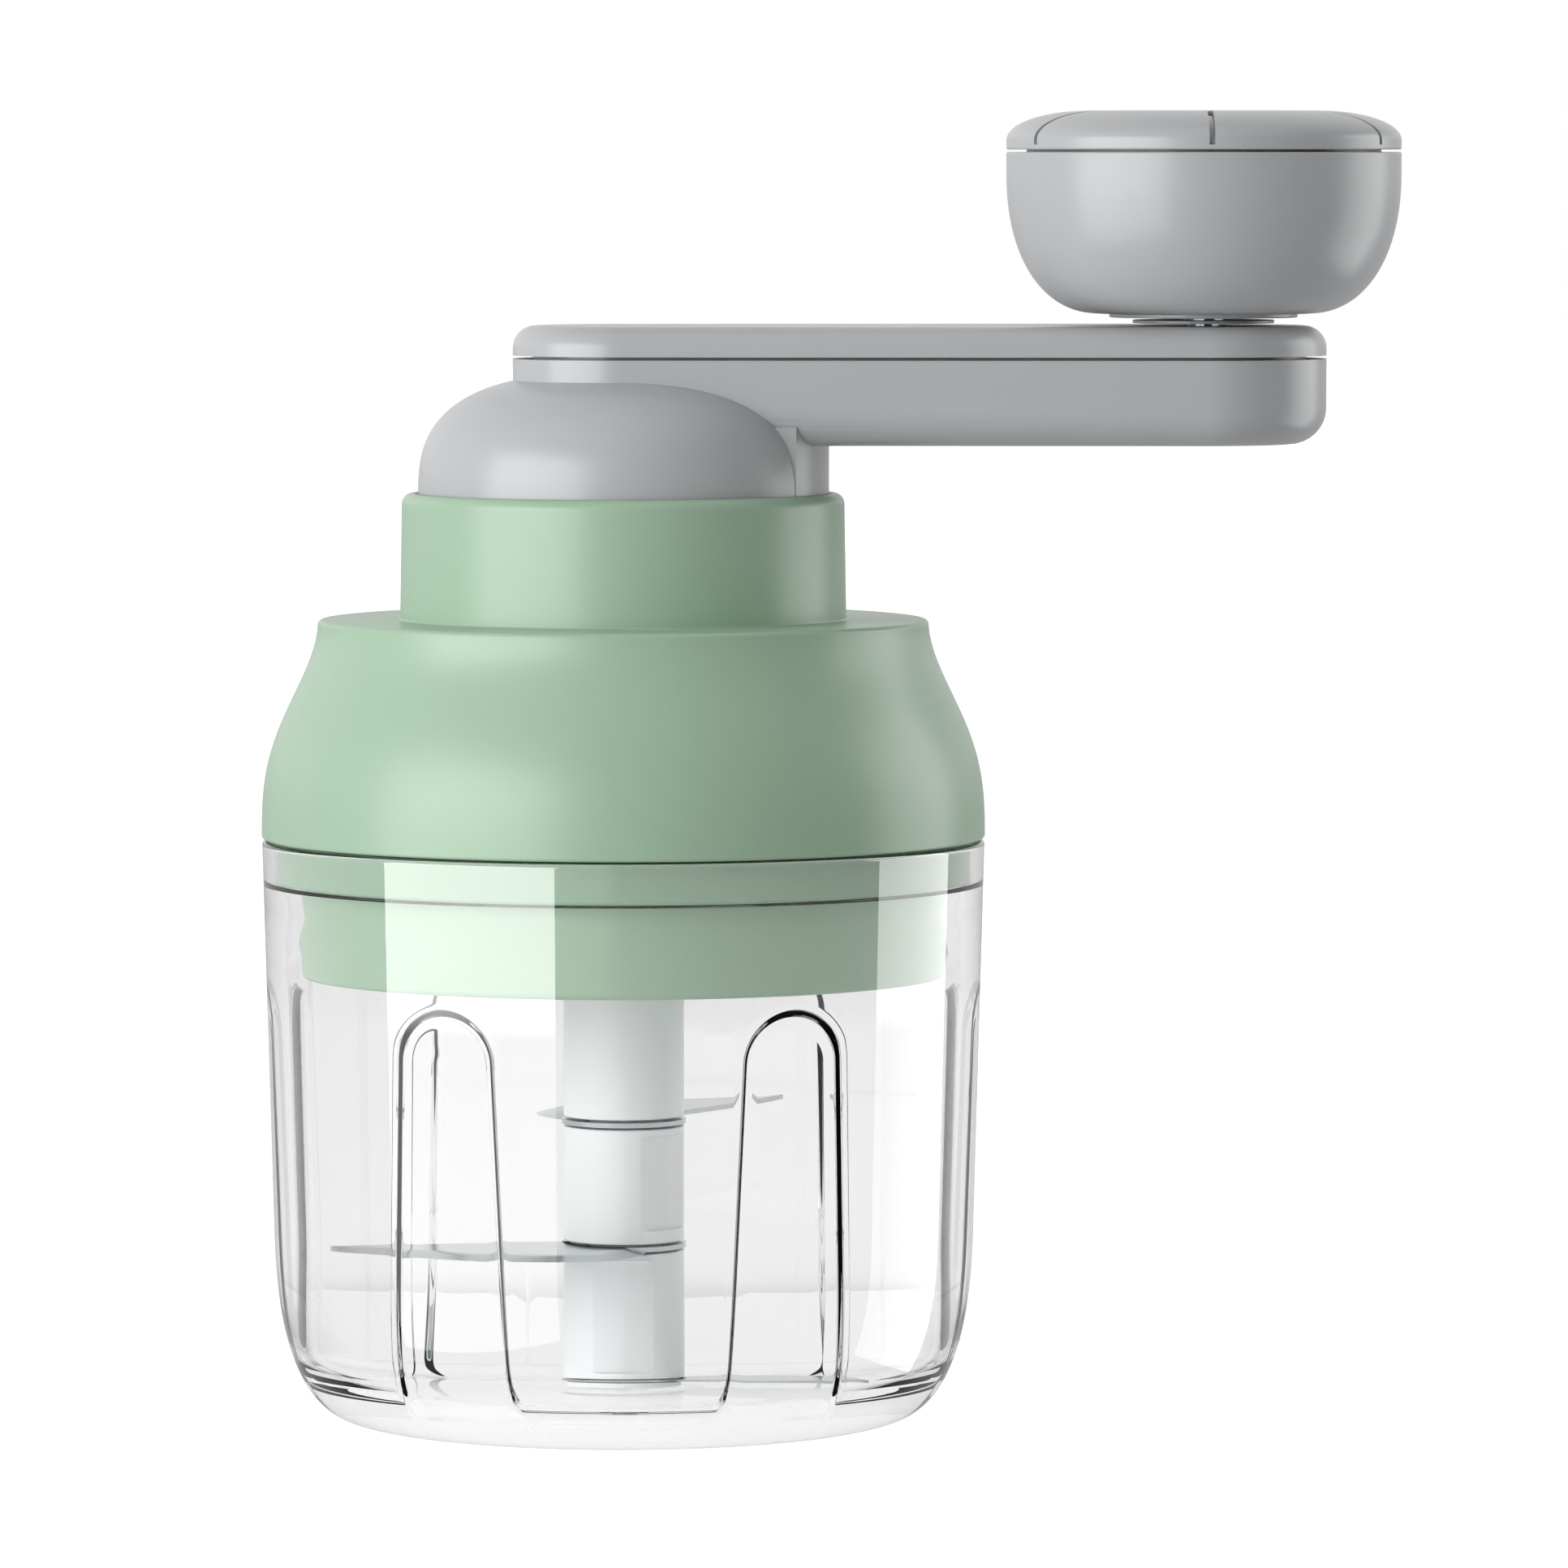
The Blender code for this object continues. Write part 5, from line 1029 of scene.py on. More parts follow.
@dataclass
class Crank:
    """Grey crank moulded in one, domed hub, pillar and arm, with its cover and the knob's collar."""

    hub_radius: float = 25.51 * MM
    hub_z: float = 112.9 * MM
    hub_skirt: float = 2.1 * MM    # upright part under the dome
    dome: float = 15.4 * MM
    dome_power: float = 2.8
    dome_rows: int = 40
    dome_crowding: float = 0.8     # power that crowds the dome's rows towards its top
    hub_wall: float = 2.7 * MM
    ceiling: float = 8.5 * MM      # of the hollow under the hub
    boss_radius: float = 11.8 * MM
    boss_z: float = 110.6 * MM
    socket_flats: float = 14.6 * MM
    socket_top: float = 117.3 * MM
    screw_hole: float = 2.2 * MM
    pillar_half_width: float = 13.9 * MM
    pillar_proud: float = 0.1 * MM                     # how far the pillar stands out of the hub's side
    arm_z: float = 121.5 * MM
    arm_top: float = 132.1 * MM
    root_radius: float = 13.7 * MM
    end_radius: float = 15.3 * MM
    arm_fillet: float = 4.5 * MM
    arm_wall: float = 2.2 * MM
    arm_floor: float = 2.4 * MM
    rim_steps: int = 8             # faces across the arm's and the cover's rounded edges
    cover_gap: float = 0.4 * MM
    cover: float = 3.7 * MM
    cover_fillet: float = 2.8 * MM
    lip_wall: float = 1.4 * MM
    lip_depth: float = 2.0 * MM
    lip_web: float = 0.5 * MM      # solid part between the hollow of the lip and the cover
    knob_boss: float = 5.6 * MM
    knob_bore: float = 3.8 * MM
    knob_bore_depth: float = 9.4 * MM
    collar_radius: float = 8.8 * MM
    collar_bore: float = 2.9 * MM
    collar_edge: float = 0.1 * MM

    def dome_radius(self, z: float) -> float:
        """Outer radius of the hub at a height."""
        share = clamp((z - self.hub_z - self.hub_skirt) / self.dome)
        return self.hub_radius * (1 - share ** self.dome_power) ** (1 / self.dome_power)

    def bar(self, name: str, inset: float, bottom: float, top: float) -> bpy.types.Object:
        """Model a bar with round ends about the crank's and the knob's axis.

        Args:
            name: Name of the piece.
            inset: How far it lies inside the arm's outline.
            bottom: Height of its lower face.
            top: Height of its upper face.

        Returns:
            The bar.
        """
        piece = cylinder(name, self.root_radius - inset, bottom, top, BAR_STEPS)
        join(piece, cylinder("bar_end", self.end_radius - inset, bottom, top, BAR_STEPS, (ARM_LENGTH, 0.0)))
        open_mesh(piece)
        bpy.ops.mesh.select_all(action="SELECT")
        bpy.ops.mesh.convex_hull()
        bpy.ops.mesh.select_all(action="SELECT")
        bpy.ops.mesh.dissolve_limited(angle_limit=FLAT)
        close_mesh()
        return piece

    def round_rim(self, piece: bpy.types.Object, height: float, width: float) -> None:
        """Round the edge that runs round a bar at one height."""
        round_edges(piece, width, self.rim_steps, lambda edge: at_height(edge, height)
                    and any(abs(face.normal.z) < 0.5 for face in edge.link_faces))

    def build(self) -> None:
        """Build the crank, its cover and the collar."""
        self.build_crank()
        self.build_cover()
        self.build_collar()

    def build_crank(self) -> None:
        """Build the hub, pillar and arm as one hollow moulding."""
        dome_z = self.hub_z + self.hub_skirt
        outline: Outline = [(0.0, self.hub_z), (self.hub_radius, self.hub_z, SOFT_EDGE)]
        for i in range(self.dome_rows + 1):
            z = dome_z + self.dome * math.sin(math.pi / 2 * i / self.dome_rows) ** self.dome_crowding
            outline.append((self.dome_radius(z), z))
        crank = turned("crank", fillet(outline))

        floor = self.arm_z + self.arm_floor
        pillar = cylinder("pillar", self.hub_radius + self.pillar_proud, dome_z, floor, LARGE_STEPS)
        slab = block("pillar_width", (0.0, -self.pillar_half_width, self.hub_z),
                     (2 * self.hub_radius, self.pillar_half_width, self.arm_top))
        combine(pillar, slab, Cut.KEEP_SHARED)
        combine(crank, pillar, Cut.JOIN)
        arm = self.bar("arm", 0.0, self.arm_z, self.arm_top)
        self.round_rim(arm, self.arm_z, self.arm_fillet)
        combine(crank, arm, Cut.JOIN)

        ceiling = self.hub_z + self.ceiling
        inside = self.hub_radius - self.hub_wall
        combine(crank, cylinder("hub_hollow", inside, self.hub_z - PAST, ceiling), Cut.REMOVE)
        combine(crank, cylinder("hub_boss", self.boss_radius, self.boss_z, ceiling + PAST), Cut.JOIN)
        combine(crank, self.bar("arm_channel", self.arm_wall, floor, self.arm_top + PAST), Cut.REMOVE)
        knob_axis = (ARM_LENGTH, 0.0)
        cover_top = self.arm_top + self.cover_gap + self.cover
        combine(crank, cylinder("knob_boss", self.knob_boss, floor - PAST, cover_top, at=knob_axis),
                Cut.JOIN)
        combine(crank, cylinder("insert_bore", self.knob_bore, cover_top - self.knob_bore_depth,
                                cover_top + PAST, at=knob_axis), Cut.REMOVE)
        combine(crank, hexagon("drive_socket", self.socket_flats, self.boss_z - PAST, self.socket_top),
                Cut.REMOVE)
        combine(crank, cylinder("screw_hole", self.screw_hole, self.boss_z, floor + PAST, SCREW_STEPS),
                Cut.REMOVE)
        finish_piece(crank, Finish.GREY, "crank", "crank_arm")

    def build_cover(self) -> None:
        """Build the cover that closes the arm, with its lip and the hole for the knob's boss."""
        bottom = self.arm_top + self.cover_gap
        top = bottom + self.cover
        cover = self.bar("crank_cover", 0.0, bottom, top)
        self.round_rim(cover, top, self.cover_fillet)
        lip_out = self.arm_wall + GAP
        lip_z = self.arm_top - self.lip_depth
        lip = self.bar("cover_lip", lip_out, lip_z, bottom + self.lip_wall)
        hollow = self.bar("cover_lip_hole", lip_out + self.lip_wall, lip_z - PAST, bottom - self.lip_web)
        combine(lip, hollow, Cut.REMOVE)
        combine(cover, lip, Cut.JOIN)
        combine(cover, cylinder("cover_hole", self.knob_boss + GAP, lip_z - PAST, top + PAST,
                                at=(ARM_LENGTH, 0.0)), Cut.REMOVE)
        finish_piece(cover, Finish.GREY, "crank", "arm_cover")

    def build_collar(self) -> None:
        """Build the thin collar under the knob, as thick as its solid."""
        low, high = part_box("knob_collar")
        collar = ring("knob_collar_ring", [
            (self.collar_bore, low.z), (self.collar_radius, low.z, self.collar_edge),
            (self.collar_radius, high.z, self.collar_edge), (self.collar_bore, high.z)],
            SMALL_STEPS, ARM_LENGTH)
        finish_piece(collar, Finish.GREY, "crank", "knob_collar")


@dataclass
class Knob:
    """Grey turning knob: hollow bowl and the cap with six radial grooves."""

    radius: float = 24.5 * MM
    flat_radius: float = 13.0 * MM
    power: float = 2.2
    curve_height: float = 17.5 * MM
    curve_rows: int = 36
    curve_crowding: float = 1.1    # power that crowds the rows towards the foot
    inner_rows: int = 16
    foot_z: float = 137.2 * MM
    foot_radius: float = 11.7 * MM
    bowl_z: float = 137.7 * MM
    seam_z: float = 157.7 * MM
    wall: float = 2.2 * MM
    tube_bore: float = 4.0 * MM
    tube_wall: float = 1.7 * MM
    tube_height: float = 12.0 * MM
    cap_height: float = 4.8 * MM
    cap_flat: float = 14.5 * MM    # radius where the cap's shoulder starts
    cap_rows: int = 24             # pieces that the shoulder is drawn with
    cap_wall: float = 2.0 * MM
    cap_lip: float = 3.0 * MM
    cap_edge: float = 1.2 * MM     # upright edge above the seam
    groove_count: int = 6
    groove_width: float = 0.7 * MM
    groove_depth: float = 0.7 * MM
    groove_start: float = 0.9 * MM

    @property
    def cap_z(self) -> float:
        """Height of the cap's lower edge, over the seam."""
        return self.seam_z + GAP

    def bowl_radius(self, z: float, inset: float = 0.0) -> float:
        """Radius of the bowl at a height, set in by a distance."""
        share = 1 - (z - self.bowl_z) / self.curve_height
        return self.radius - inset - (self.radius - self.flat_radius) * superellipse(share, self.power)

    def cap_line(self, inset: float) -> Profile:
        """Cap's outside from its edge up to its centre.

        Args:
            inset: How far the line lies inside the cap's surface.

        Returns:
            Points (radius, height).
        """
        line: Profile = []
        for i in range(self.cap_rows + 1):
            angle = math.pi / 2 * i / self.cap_rows
            radius = mix(self.cap_flat, self.radius, math.cos(angle))
            z = self.cap_z + self.cap_edge + (self.cap_height - self.cap_edge) * math.sin(angle)
            line.append((radius - inset, z - inset))
        return line + [(0.0, self.cap_z + self.cap_height - inset)]

    def build(self) -> None:
        """Build the bowl and the cap."""
        self.build_bowl()
        self.build_cap()

    def build_bowl(self) -> None:
        """Build the hollow bowl with its foot disc and the tube for its bush."""
        tube_top = self.bowl_z + self.tube_height
        tube = self.tube_bore + self.tube_wall
        floor = self.bowl_z + self.wall
        outline: Outline = [
            (self.tube_bore, self.foot_z), (self.foot_radius, self.foot_z, SMALL_EDGE),
            (self.foot_radius, self.bowl_z, SMALL_EDGE / 2), (self.flat_radius, self.bowl_z)]
        for i in range(1, self.curve_rows + 1):
            share = (1 - math.cos(math.pi / 2 * i / self.curve_rows)) ** self.curve_crowding
            z = self.bowl_z + self.curve_height * share
            outline.append((self.bowl_radius(z), z))
        outline += [(self.radius, self.seam_z, SMALL_EDGE), (self.radius - self.wall, self.seam_z)]
        for i in range(self.inner_rows + 1):
            z = mix(self.bowl_z + self.curve_height, floor, i / self.inner_rows)
            outline.append((self.bowl_radius(z, self.wall), z))
        outline += [(tube, floor), (tube, tube_top), (self.tube_bore, tube_top)]
        bowl = ring("knob_bowl", outline, LARGE_STEPS, ARM_LENGTH)
        finish_piece(bowl, Finish.GREY, "knob", "knob_body")

    def cap_groove(self, number: int) -> bpy.types.Object:
        """Model a bar that runs out from the knob's axis, to cut a groove with.

        Args:
            number: Number of the groove, counted round the knob.

        Returns:
            The bar.
        """
        half = self.groove_width / 2
        groove = block("cap_groove", (self.groove_start, -half, self.cap_z + self.cap_edge / 2),
                       (self.radius + PAST, half, self.cap_z + self.cap_height + PAST))
        groove.rotation_euler.z = math.pi / 2 + 2 * math.pi * number / self.groove_count
        groove.location.x = ARM_LENGTH
        settle(groove)
        return groove

    def build_cap(self) -> None:
        """Build the cap and cut its six radial grooves."""
        bottom = self.cap_z
        under = bottom + self.cap_height - self.cap_wall
        lip = self.radius - self.wall - GAP
        lip_z = self.seam_z - self.cap_lip
        outline: Outline = [
            (0.0, under), (lip - self.cap_wall, under), (lip - self.cap_wall, lip_z), (lip, lip_z),
            (lip, bottom), (self.radius, bottom, SMALL_EDGE)]
        cap = turned("knob_top", fillet(outline + self.cap_line(0.0)), LARGE_STEPS, ARM_LENGTH)

        grooves = [self.cap_groove(number) for number in range(self.groove_count)]
        join(*grooves)
        depth = self.groove_depth
        inside = [(0.0, bottom - PAST), (self.radius - depth, bottom - PAST)] + self.cap_line(depth)
        core = turned("groove_floor", inside, LARGE_STEPS, ARM_LENGTH)
        combine(grooves[0], core, Cut.REMOVE)
        combine(cap, grooves[0], Cut.REMOVE)
        finish_piece(cap, Finish.GREY, "knob", "knob_cap")


@dataclass
class BladeUnit:
    """Pale holder in sections and its three ground blades."""

    radius: float = 7.5 * MM
    foot_radius: float = 7.1 * MM
    foot_bore: float = 3.3 * MM
    foot_recess: float = 0.9 * MM  # depth of the recess for the bush's flange
    core_flats: float = 9.0 * MM
    flat_depth: float = 1.0 * MM
    flat_fillet: float = 0.6 * MM
    flat_fillet_steps: int = 4
    flat_end: float = 1.6 * MM     # solid part under each flat
    flat_top: float = 0.8 * MM     # and above it
    middle_flat: float = math.radians(-42)
    low_flat: float = math.radians(-90)
    socket_flats: float = 6.6 * MM
    socket_z: float = 43.5 * MM
    thickness: float = 0.6 * MM
    root_depth: float = 0.6 * MM   # how far a blade reaches into its eye
    eye_proud: float = 0.25 * MM
    back_angle: float = math.radians(-6)
    grind: float = 2.4 * MM        # width of the ground bevel along the cutting edge
    grind_limit: float = 0.75      # most that it takes of the blade's width
    edge_thickness: float = 0.06 * MM
    rows: int = 56                 # rows of faces from the root to the tip
    tip_crowding: float = 1.3      # power that crowds them towards the tip
    flat_columns: int = 5
    ground_columns: int = 4
    slope_step: float = 0.001      # share of the radius over which the edge's slope is measured
    angles: tuple[float, float, float] = (math.radians(56), math.radians(189), math.radians(325))
    edge_line: tuple[tuple[float, float], ...] = (     # share of the reach, and degrees ahead of the tip
        (1.0, 0.0), (0.76, 18.0), (0.6, 45.0), (0.46, 75.0), (0.366, 86.0), (0.27, 96.0), (0.17, 108.0))

    def core(self, name: str, bottom: float, top: float) -> bpy.types.Object:
        """Add the hexagon that makes room for the core."""
        return hexagon(name, self.core_flats + 2 * GAP, bottom, top)

    def build(self) -> None:
        """Build the sections of the holder and the blades."""
        for node, angle in zip(("blade_top", "blade_middle", "blade_low"), self.angles):
            self.build_blade(node, angle)
        self.build_section("holder_head", "holder_top", None)
        self.build_section("holder_waist", "holder_middle", self.middle_flat)
        self.build_section("holder_sleeve", "holder_low", self.low_flat)
        self.build_foot()

    def build_section(self, name: str, node: str, flat: float | None) -> None:
        """Build one section of the holder in the place of its solid.

        Args:
            name: Name of the piece.
            node: Solid that it stands for.
            flat: Direction that its flat faces, or None where it has none.
        """
        low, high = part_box(node)
        section = turned(name, fillet([(0.0, low.z), (self.radius, low.z, SMALL_EDGE),
                                       (self.radius, high.z, SMALL_EDGE), (0.0, high.z)]), SMALL_STEPS)
        if flat is None:
            core_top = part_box("holder_core")[1].z
            combine(section, self.core("core_pocket", low.z - PAST, core_top + GAP), Cut.REMOVE)
            combine(section, hexagon("drive_socket", self.socket_flats, self.socket_z, high.z + PAST),
                    Cut.REMOVE)
        else:
            combine(section, self.core("core_hole", low.z - PAST, high.z + PAST), Cut.REMOVE)
            cut = block("flat_cut", (self.radius - self.flat_depth, -self.radius, low.z + self.flat_end),
                        (self.radius + PAST, self.radius, high.z - self.flat_top))
            round_edges(cut, self.flat_fillet, self.flat_fillet_steps,
                        lambda edge: all(v.co.x < self.radius for v in edge.verts)
                        and abs(edge.verts[0].co.z - edge.verts[1].co.z) < TOUCH)
            cut.rotation_euler.z = flat
            settle(cut)
            combine(section, cut, Cut.REMOVE)
        finish_piece(section, Finish.PALE, "blades", node)

    def build_foot(self) -> None:
        """Build the foot of the holder, which runs over the pin's bush."""
        low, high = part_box("holder_foot")
        bush_low, bush_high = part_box("foot_bush")
        recess = (bush_high.x - bush_low.x) / 2 + GAP
        recess_z = low.z + self.foot_recess
        foot = ring("holder_base", [
            (self.foot_bore, recess_z), (recess, recess_z), (recess, low.z),
            (self.foot_radius, low.z, SMALL_EDGE), (self.foot_radius, high.z, SMALL_EDGE),
            (self.foot_bore, high.z)], SMALL_STEPS)
        core_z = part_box("holder_core")[0].z
        combine(foot, self.core("foot_pocket", core_z - GAP, high.z + PAST), Cut.REMOVE)
        finish_piece(foot, Finish.PALE, "blades", "holder_foot")

    def edge_angle(self, radius: float, reach: float) -> float:
        """Find the cutting edge on a smooth curve through the points of its line.

        Args:
            radius: Distance from the axis.
            reach: Distance of the tip from the axis.

        Returns:
            Angle of the edge ahead of the tip.
        """
        points = sorted((share * reach, math.radians(degrees)) for share, degrees in self.edge_line)
        last = len(points) - 1
        i = min(max(1, bisect_left([point[0] for point in points], radius)), last)
        before, start, end, after = points[max(0, i - 2)], points[i - 1], points[i], points[min(last, i + 1)]
        share = (radius - start[0]) / (end[0] - start[0])
        slope_in = (end[1] - before[1]) / (end[0] - before[0]) * (end[0] - start[0])
        slope_out = (after[1] - start[1]) / (after[0] - start[0]) * (end[0] - start[0])
        square = share * share
        cube = square * share
        return ((2 * cube - 3 * square + 1) * start[1] + (cube - 2 * square + share) * slope_in
                + (3 * square - 2 * cube) * end[1] + (cube - square) * slope_out)

    def build_blade(self, node: str, angle: float) -> None:
        """Build a sickle blade with its ground edge and its eye.

        Args:
            node: Solid that it stands for.
            angle: Direction of its tip.
        """
        low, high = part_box(node)
        middle = (low.z + high.z) / 2
        reach = max(vertex.co.xy.length for vertex in bpy.data.objects[node].data.vertices)
        inside = self.radius - self.root_depth

        def place(column: int, row: int) -> Place:
            """Find the place of a corner of the blade's upper side.

            Args:
                column: Its column, counted from the back to the cutting edge.
                row: Its row, counted from the root to the tip.

            Returns:
                The place.
            """
            radius = mix(inside, reach, 1 - (1 - row / self.rows) ** self.tip_crowding)
            front = self.edge_angle(radius, reach) if row < self.rows else 0.0
            back = self.back_angle * (1 - (radius - inside) / (reach - inside))
            rise = (self.edge_angle(radius * (1 + self.slope_step), reach)
                    - self.edge_angle(radius * (1 - self.slope_step), reach))
            slope = rise / (2 * self.slope_step)
            bevel = self.grind * math.sqrt(1 + slope * slope) / radius
            width = min(bevel, self.grind_limit * (front - back))
            if column <= self.flat_columns:
                turn = mix(back, front - width, column / self.flat_columns)
                height = self.thickness / 2
            else:
                share = (column - self.flat_columns) / self.ground_columns
                turn = mix(front - width, front, share)
                height = mix(self.thickness / 2, self.edge_thickness - self.thickness / 2, share)
            return (radius * math.cos(angle + turn), radius * math.sin(angle + turn), middle + height)

        blade = grid(node.replace("blade", "ground_blade"), self.flat_columns + self.ground_columns,
                     self.rows, place)
        open_mesh(blade)
        weld()
        bpy.ops.mesh.extrude_region_move(TRANSFORM_OT_translate={"value": (0, 0, -2 * self.thickness)})
        bpy.ops.transform.resize(value=(1, 1, 0), center_override=(0, 0, middle - self.thickness / 2))
        close_outwards()
        combine(blade, cylinder("blade_eye", self.radius + self.eye_proud, low.z, high.z), Cut.JOIN)
        combine(blade, self.core("eye_hole", low.z - PAST, high.z + PAST), Cut.REMOVE)
        steel = GroundMetal(node + "_ground_steel", "#B9BDC0", turn=angle + math.pi / 2, roughness=0.18)
        finish_piece(blade, Finish.STEEL, "blades", node, material=steel.material())


@dataclass
class Drive:
    """Drive shaft, the bush on the cup's pin and the lower shaft bush."""

    shaft_radius: float = 3.6 * MM
    shaft_edge: float = 0.4 * MM
    neck_radius: float = 3.0 * MM
    hexagon_flats: float = 6.0 * MM
    hexagon_top: float = 56.8 * MM
    hexagon_edge_steps: int = 2
    shoulder: float = 100.8 * MM
    pin_bore: float = 1.9 * MM
    pin_bush_wall: float = 1.1 * MM
    pin_bush_cap: float = 1.2 * MM
    pin_bush_flange: float = 0.75 * MM
    lower_bush_wall: float = 1.3 * MM
    lower_bush_flange: float = 0.8 * MM

    def build(self) -> None:
        """Build the shaft, the foot bush and the lower shaft bush."""
        self.build_shaft()
        self.build_pin_bush()
        self.build_lower_bush()

    def build_shaft(self) -> None:
        """Build the shaft with its groove for the clip, its upper neck and its hexagonal end."""
        low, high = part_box("drive_shaft")
        clip_low, clip_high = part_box("shaft_clip")
        shaft = turned("turned_drive_shaft", fillet([
            (0.0, self.hexagon_top), (self.shaft_radius, self.hexagon_top, self.shaft_edge),
            (self.shaft_radius, clip_low.z - GAP), (self.neck_radius, clip_low.z - GAP),
            (self.neck_radius, clip_high.z + GAP), (self.shaft_radius, clip_high.z + GAP),
            (self.shaft_radius, self.shoulder), (self.neck_radius, self.shoulder),
            (self.neck_radius, high.z, PLAIN_EDGE), (0.0, high.z)]), SMALL_STEPS)
        end = hexagon("shaft_hexagon", self.hexagon_flats, low.z, self.hexagon_top + PAST)
        round_edges(end, WIDE_EDGE, self.hexagon_edge_steps, lambda edge: at_height(edge, low.z))
        combine(shaft, end, Cut.JOIN)
        finish_piece(shaft, Finish.STEEL, "drive", "drive_shaft")

    def build_pin_bush(self) -> None:
        """Build the capped bush that hangs on the cup's pin."""
        low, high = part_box("foot_bush")
        flange = (high.x - low.x) / 2
        flange_top = low.z + self.pin_bush_flange
        bore = self.pin_bore
        body = bore + self.pin_bush_wall
        cap = high.z - self.pin_bush_cap
        bush = turned("pin_bush", fillet([
            (0.0, cap), (bore, cap), (bore, low.z, FINE_EDGE), (flange, low.z, FINE_EDGE),
            (flange, flange_top, FINE_EDGE), (body, flange_top), (body, high.z, PLAIN_EDGE), (0.0, high.z)]),
            SMALL_STEPS)
        finish_piece(bush, Finish.GEARS, "pivot", "foot_bush")

    def build_lower_bush(self) -> None:
        """Build the flanged bush that holds the shaft in the inner lid."""
        low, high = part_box("lower_shaft_bush")
        flange = (high.x - low.x) / 2
        flange_z = high.z - self.lower_bush_flange
        bore = self.shaft_radius + GAP
        body = bore + self.lower_bush_wall
        bush = ring("turned_lower_bush", [
            (bore, low.z, SMALL_EDGE), (body, low.z, SMALL_EDGE), (body, flange_z), (flange, flange_z),
            (flange, high.z, FINE_EDGE), (bore, high.z, FINE_EDGE)], SMALL_STEPS)
        finish_piece(bush, Finish.BRASS, "lid", "lower_shaft_bush")


def dress_solids(frame: dict) -> None:
    """Give each solid that still shows the finish that its record slot names.
    """
    finishes = {finish.slot: finish for finish in Finish}
    for node, piece in frame["nodes"].items():
        if piece.hide_render:
            continue
        finish = finishes[piece.data.materials[0].name]
        piece.data.materials.clear()
        piece.data.materials.append(finish.material())
        LOG.info("%s: solid kept, finish %s", node, finish.slot)


@dataclass(frozen=True)
class SoftBox:
    """Wide lamp that is turned to the object and isn't seen itself."""

    name: str
    azimuth: float                 # degrees to the right of the camera's side
    radiance: float                # how bright its face is, where 1 is white
    width: float
    height: float = 1.2
    elevation: float = 0.5         # degrees above the level
    distance: float = 1.1
    target: Place = (0.0, 0.0, 80 * MM)

    def build(self) -> None:
        """Hang the lamp."""
        turn = math.radians(self.azimuth)
        rise = math.radians(self.elevation)
        aim = Vector((math.sin(turn) * math.cos(rise), -math.cos(turn) * math.cos(rise), math.sin(rise)))
        bpy.ops.object.light_add(type="AREA", location=Vector(self.target) + aim * self.distance)
        lamp = bpy.context.object
        lamp.name = self.name
        lamp.rotation_euler = (-aim).to_track_quat("-Z", "Y").to_euler()
        lamp.data.shape = "RECTANGLE"
        lamp.data.size = self.width
        lamp.data.size_y = self.height
        lamp.data.energy = self.radiance * math.pi * self.width * self.height
        lamp.visible_camera = False
        lamp.visible_transmission = False


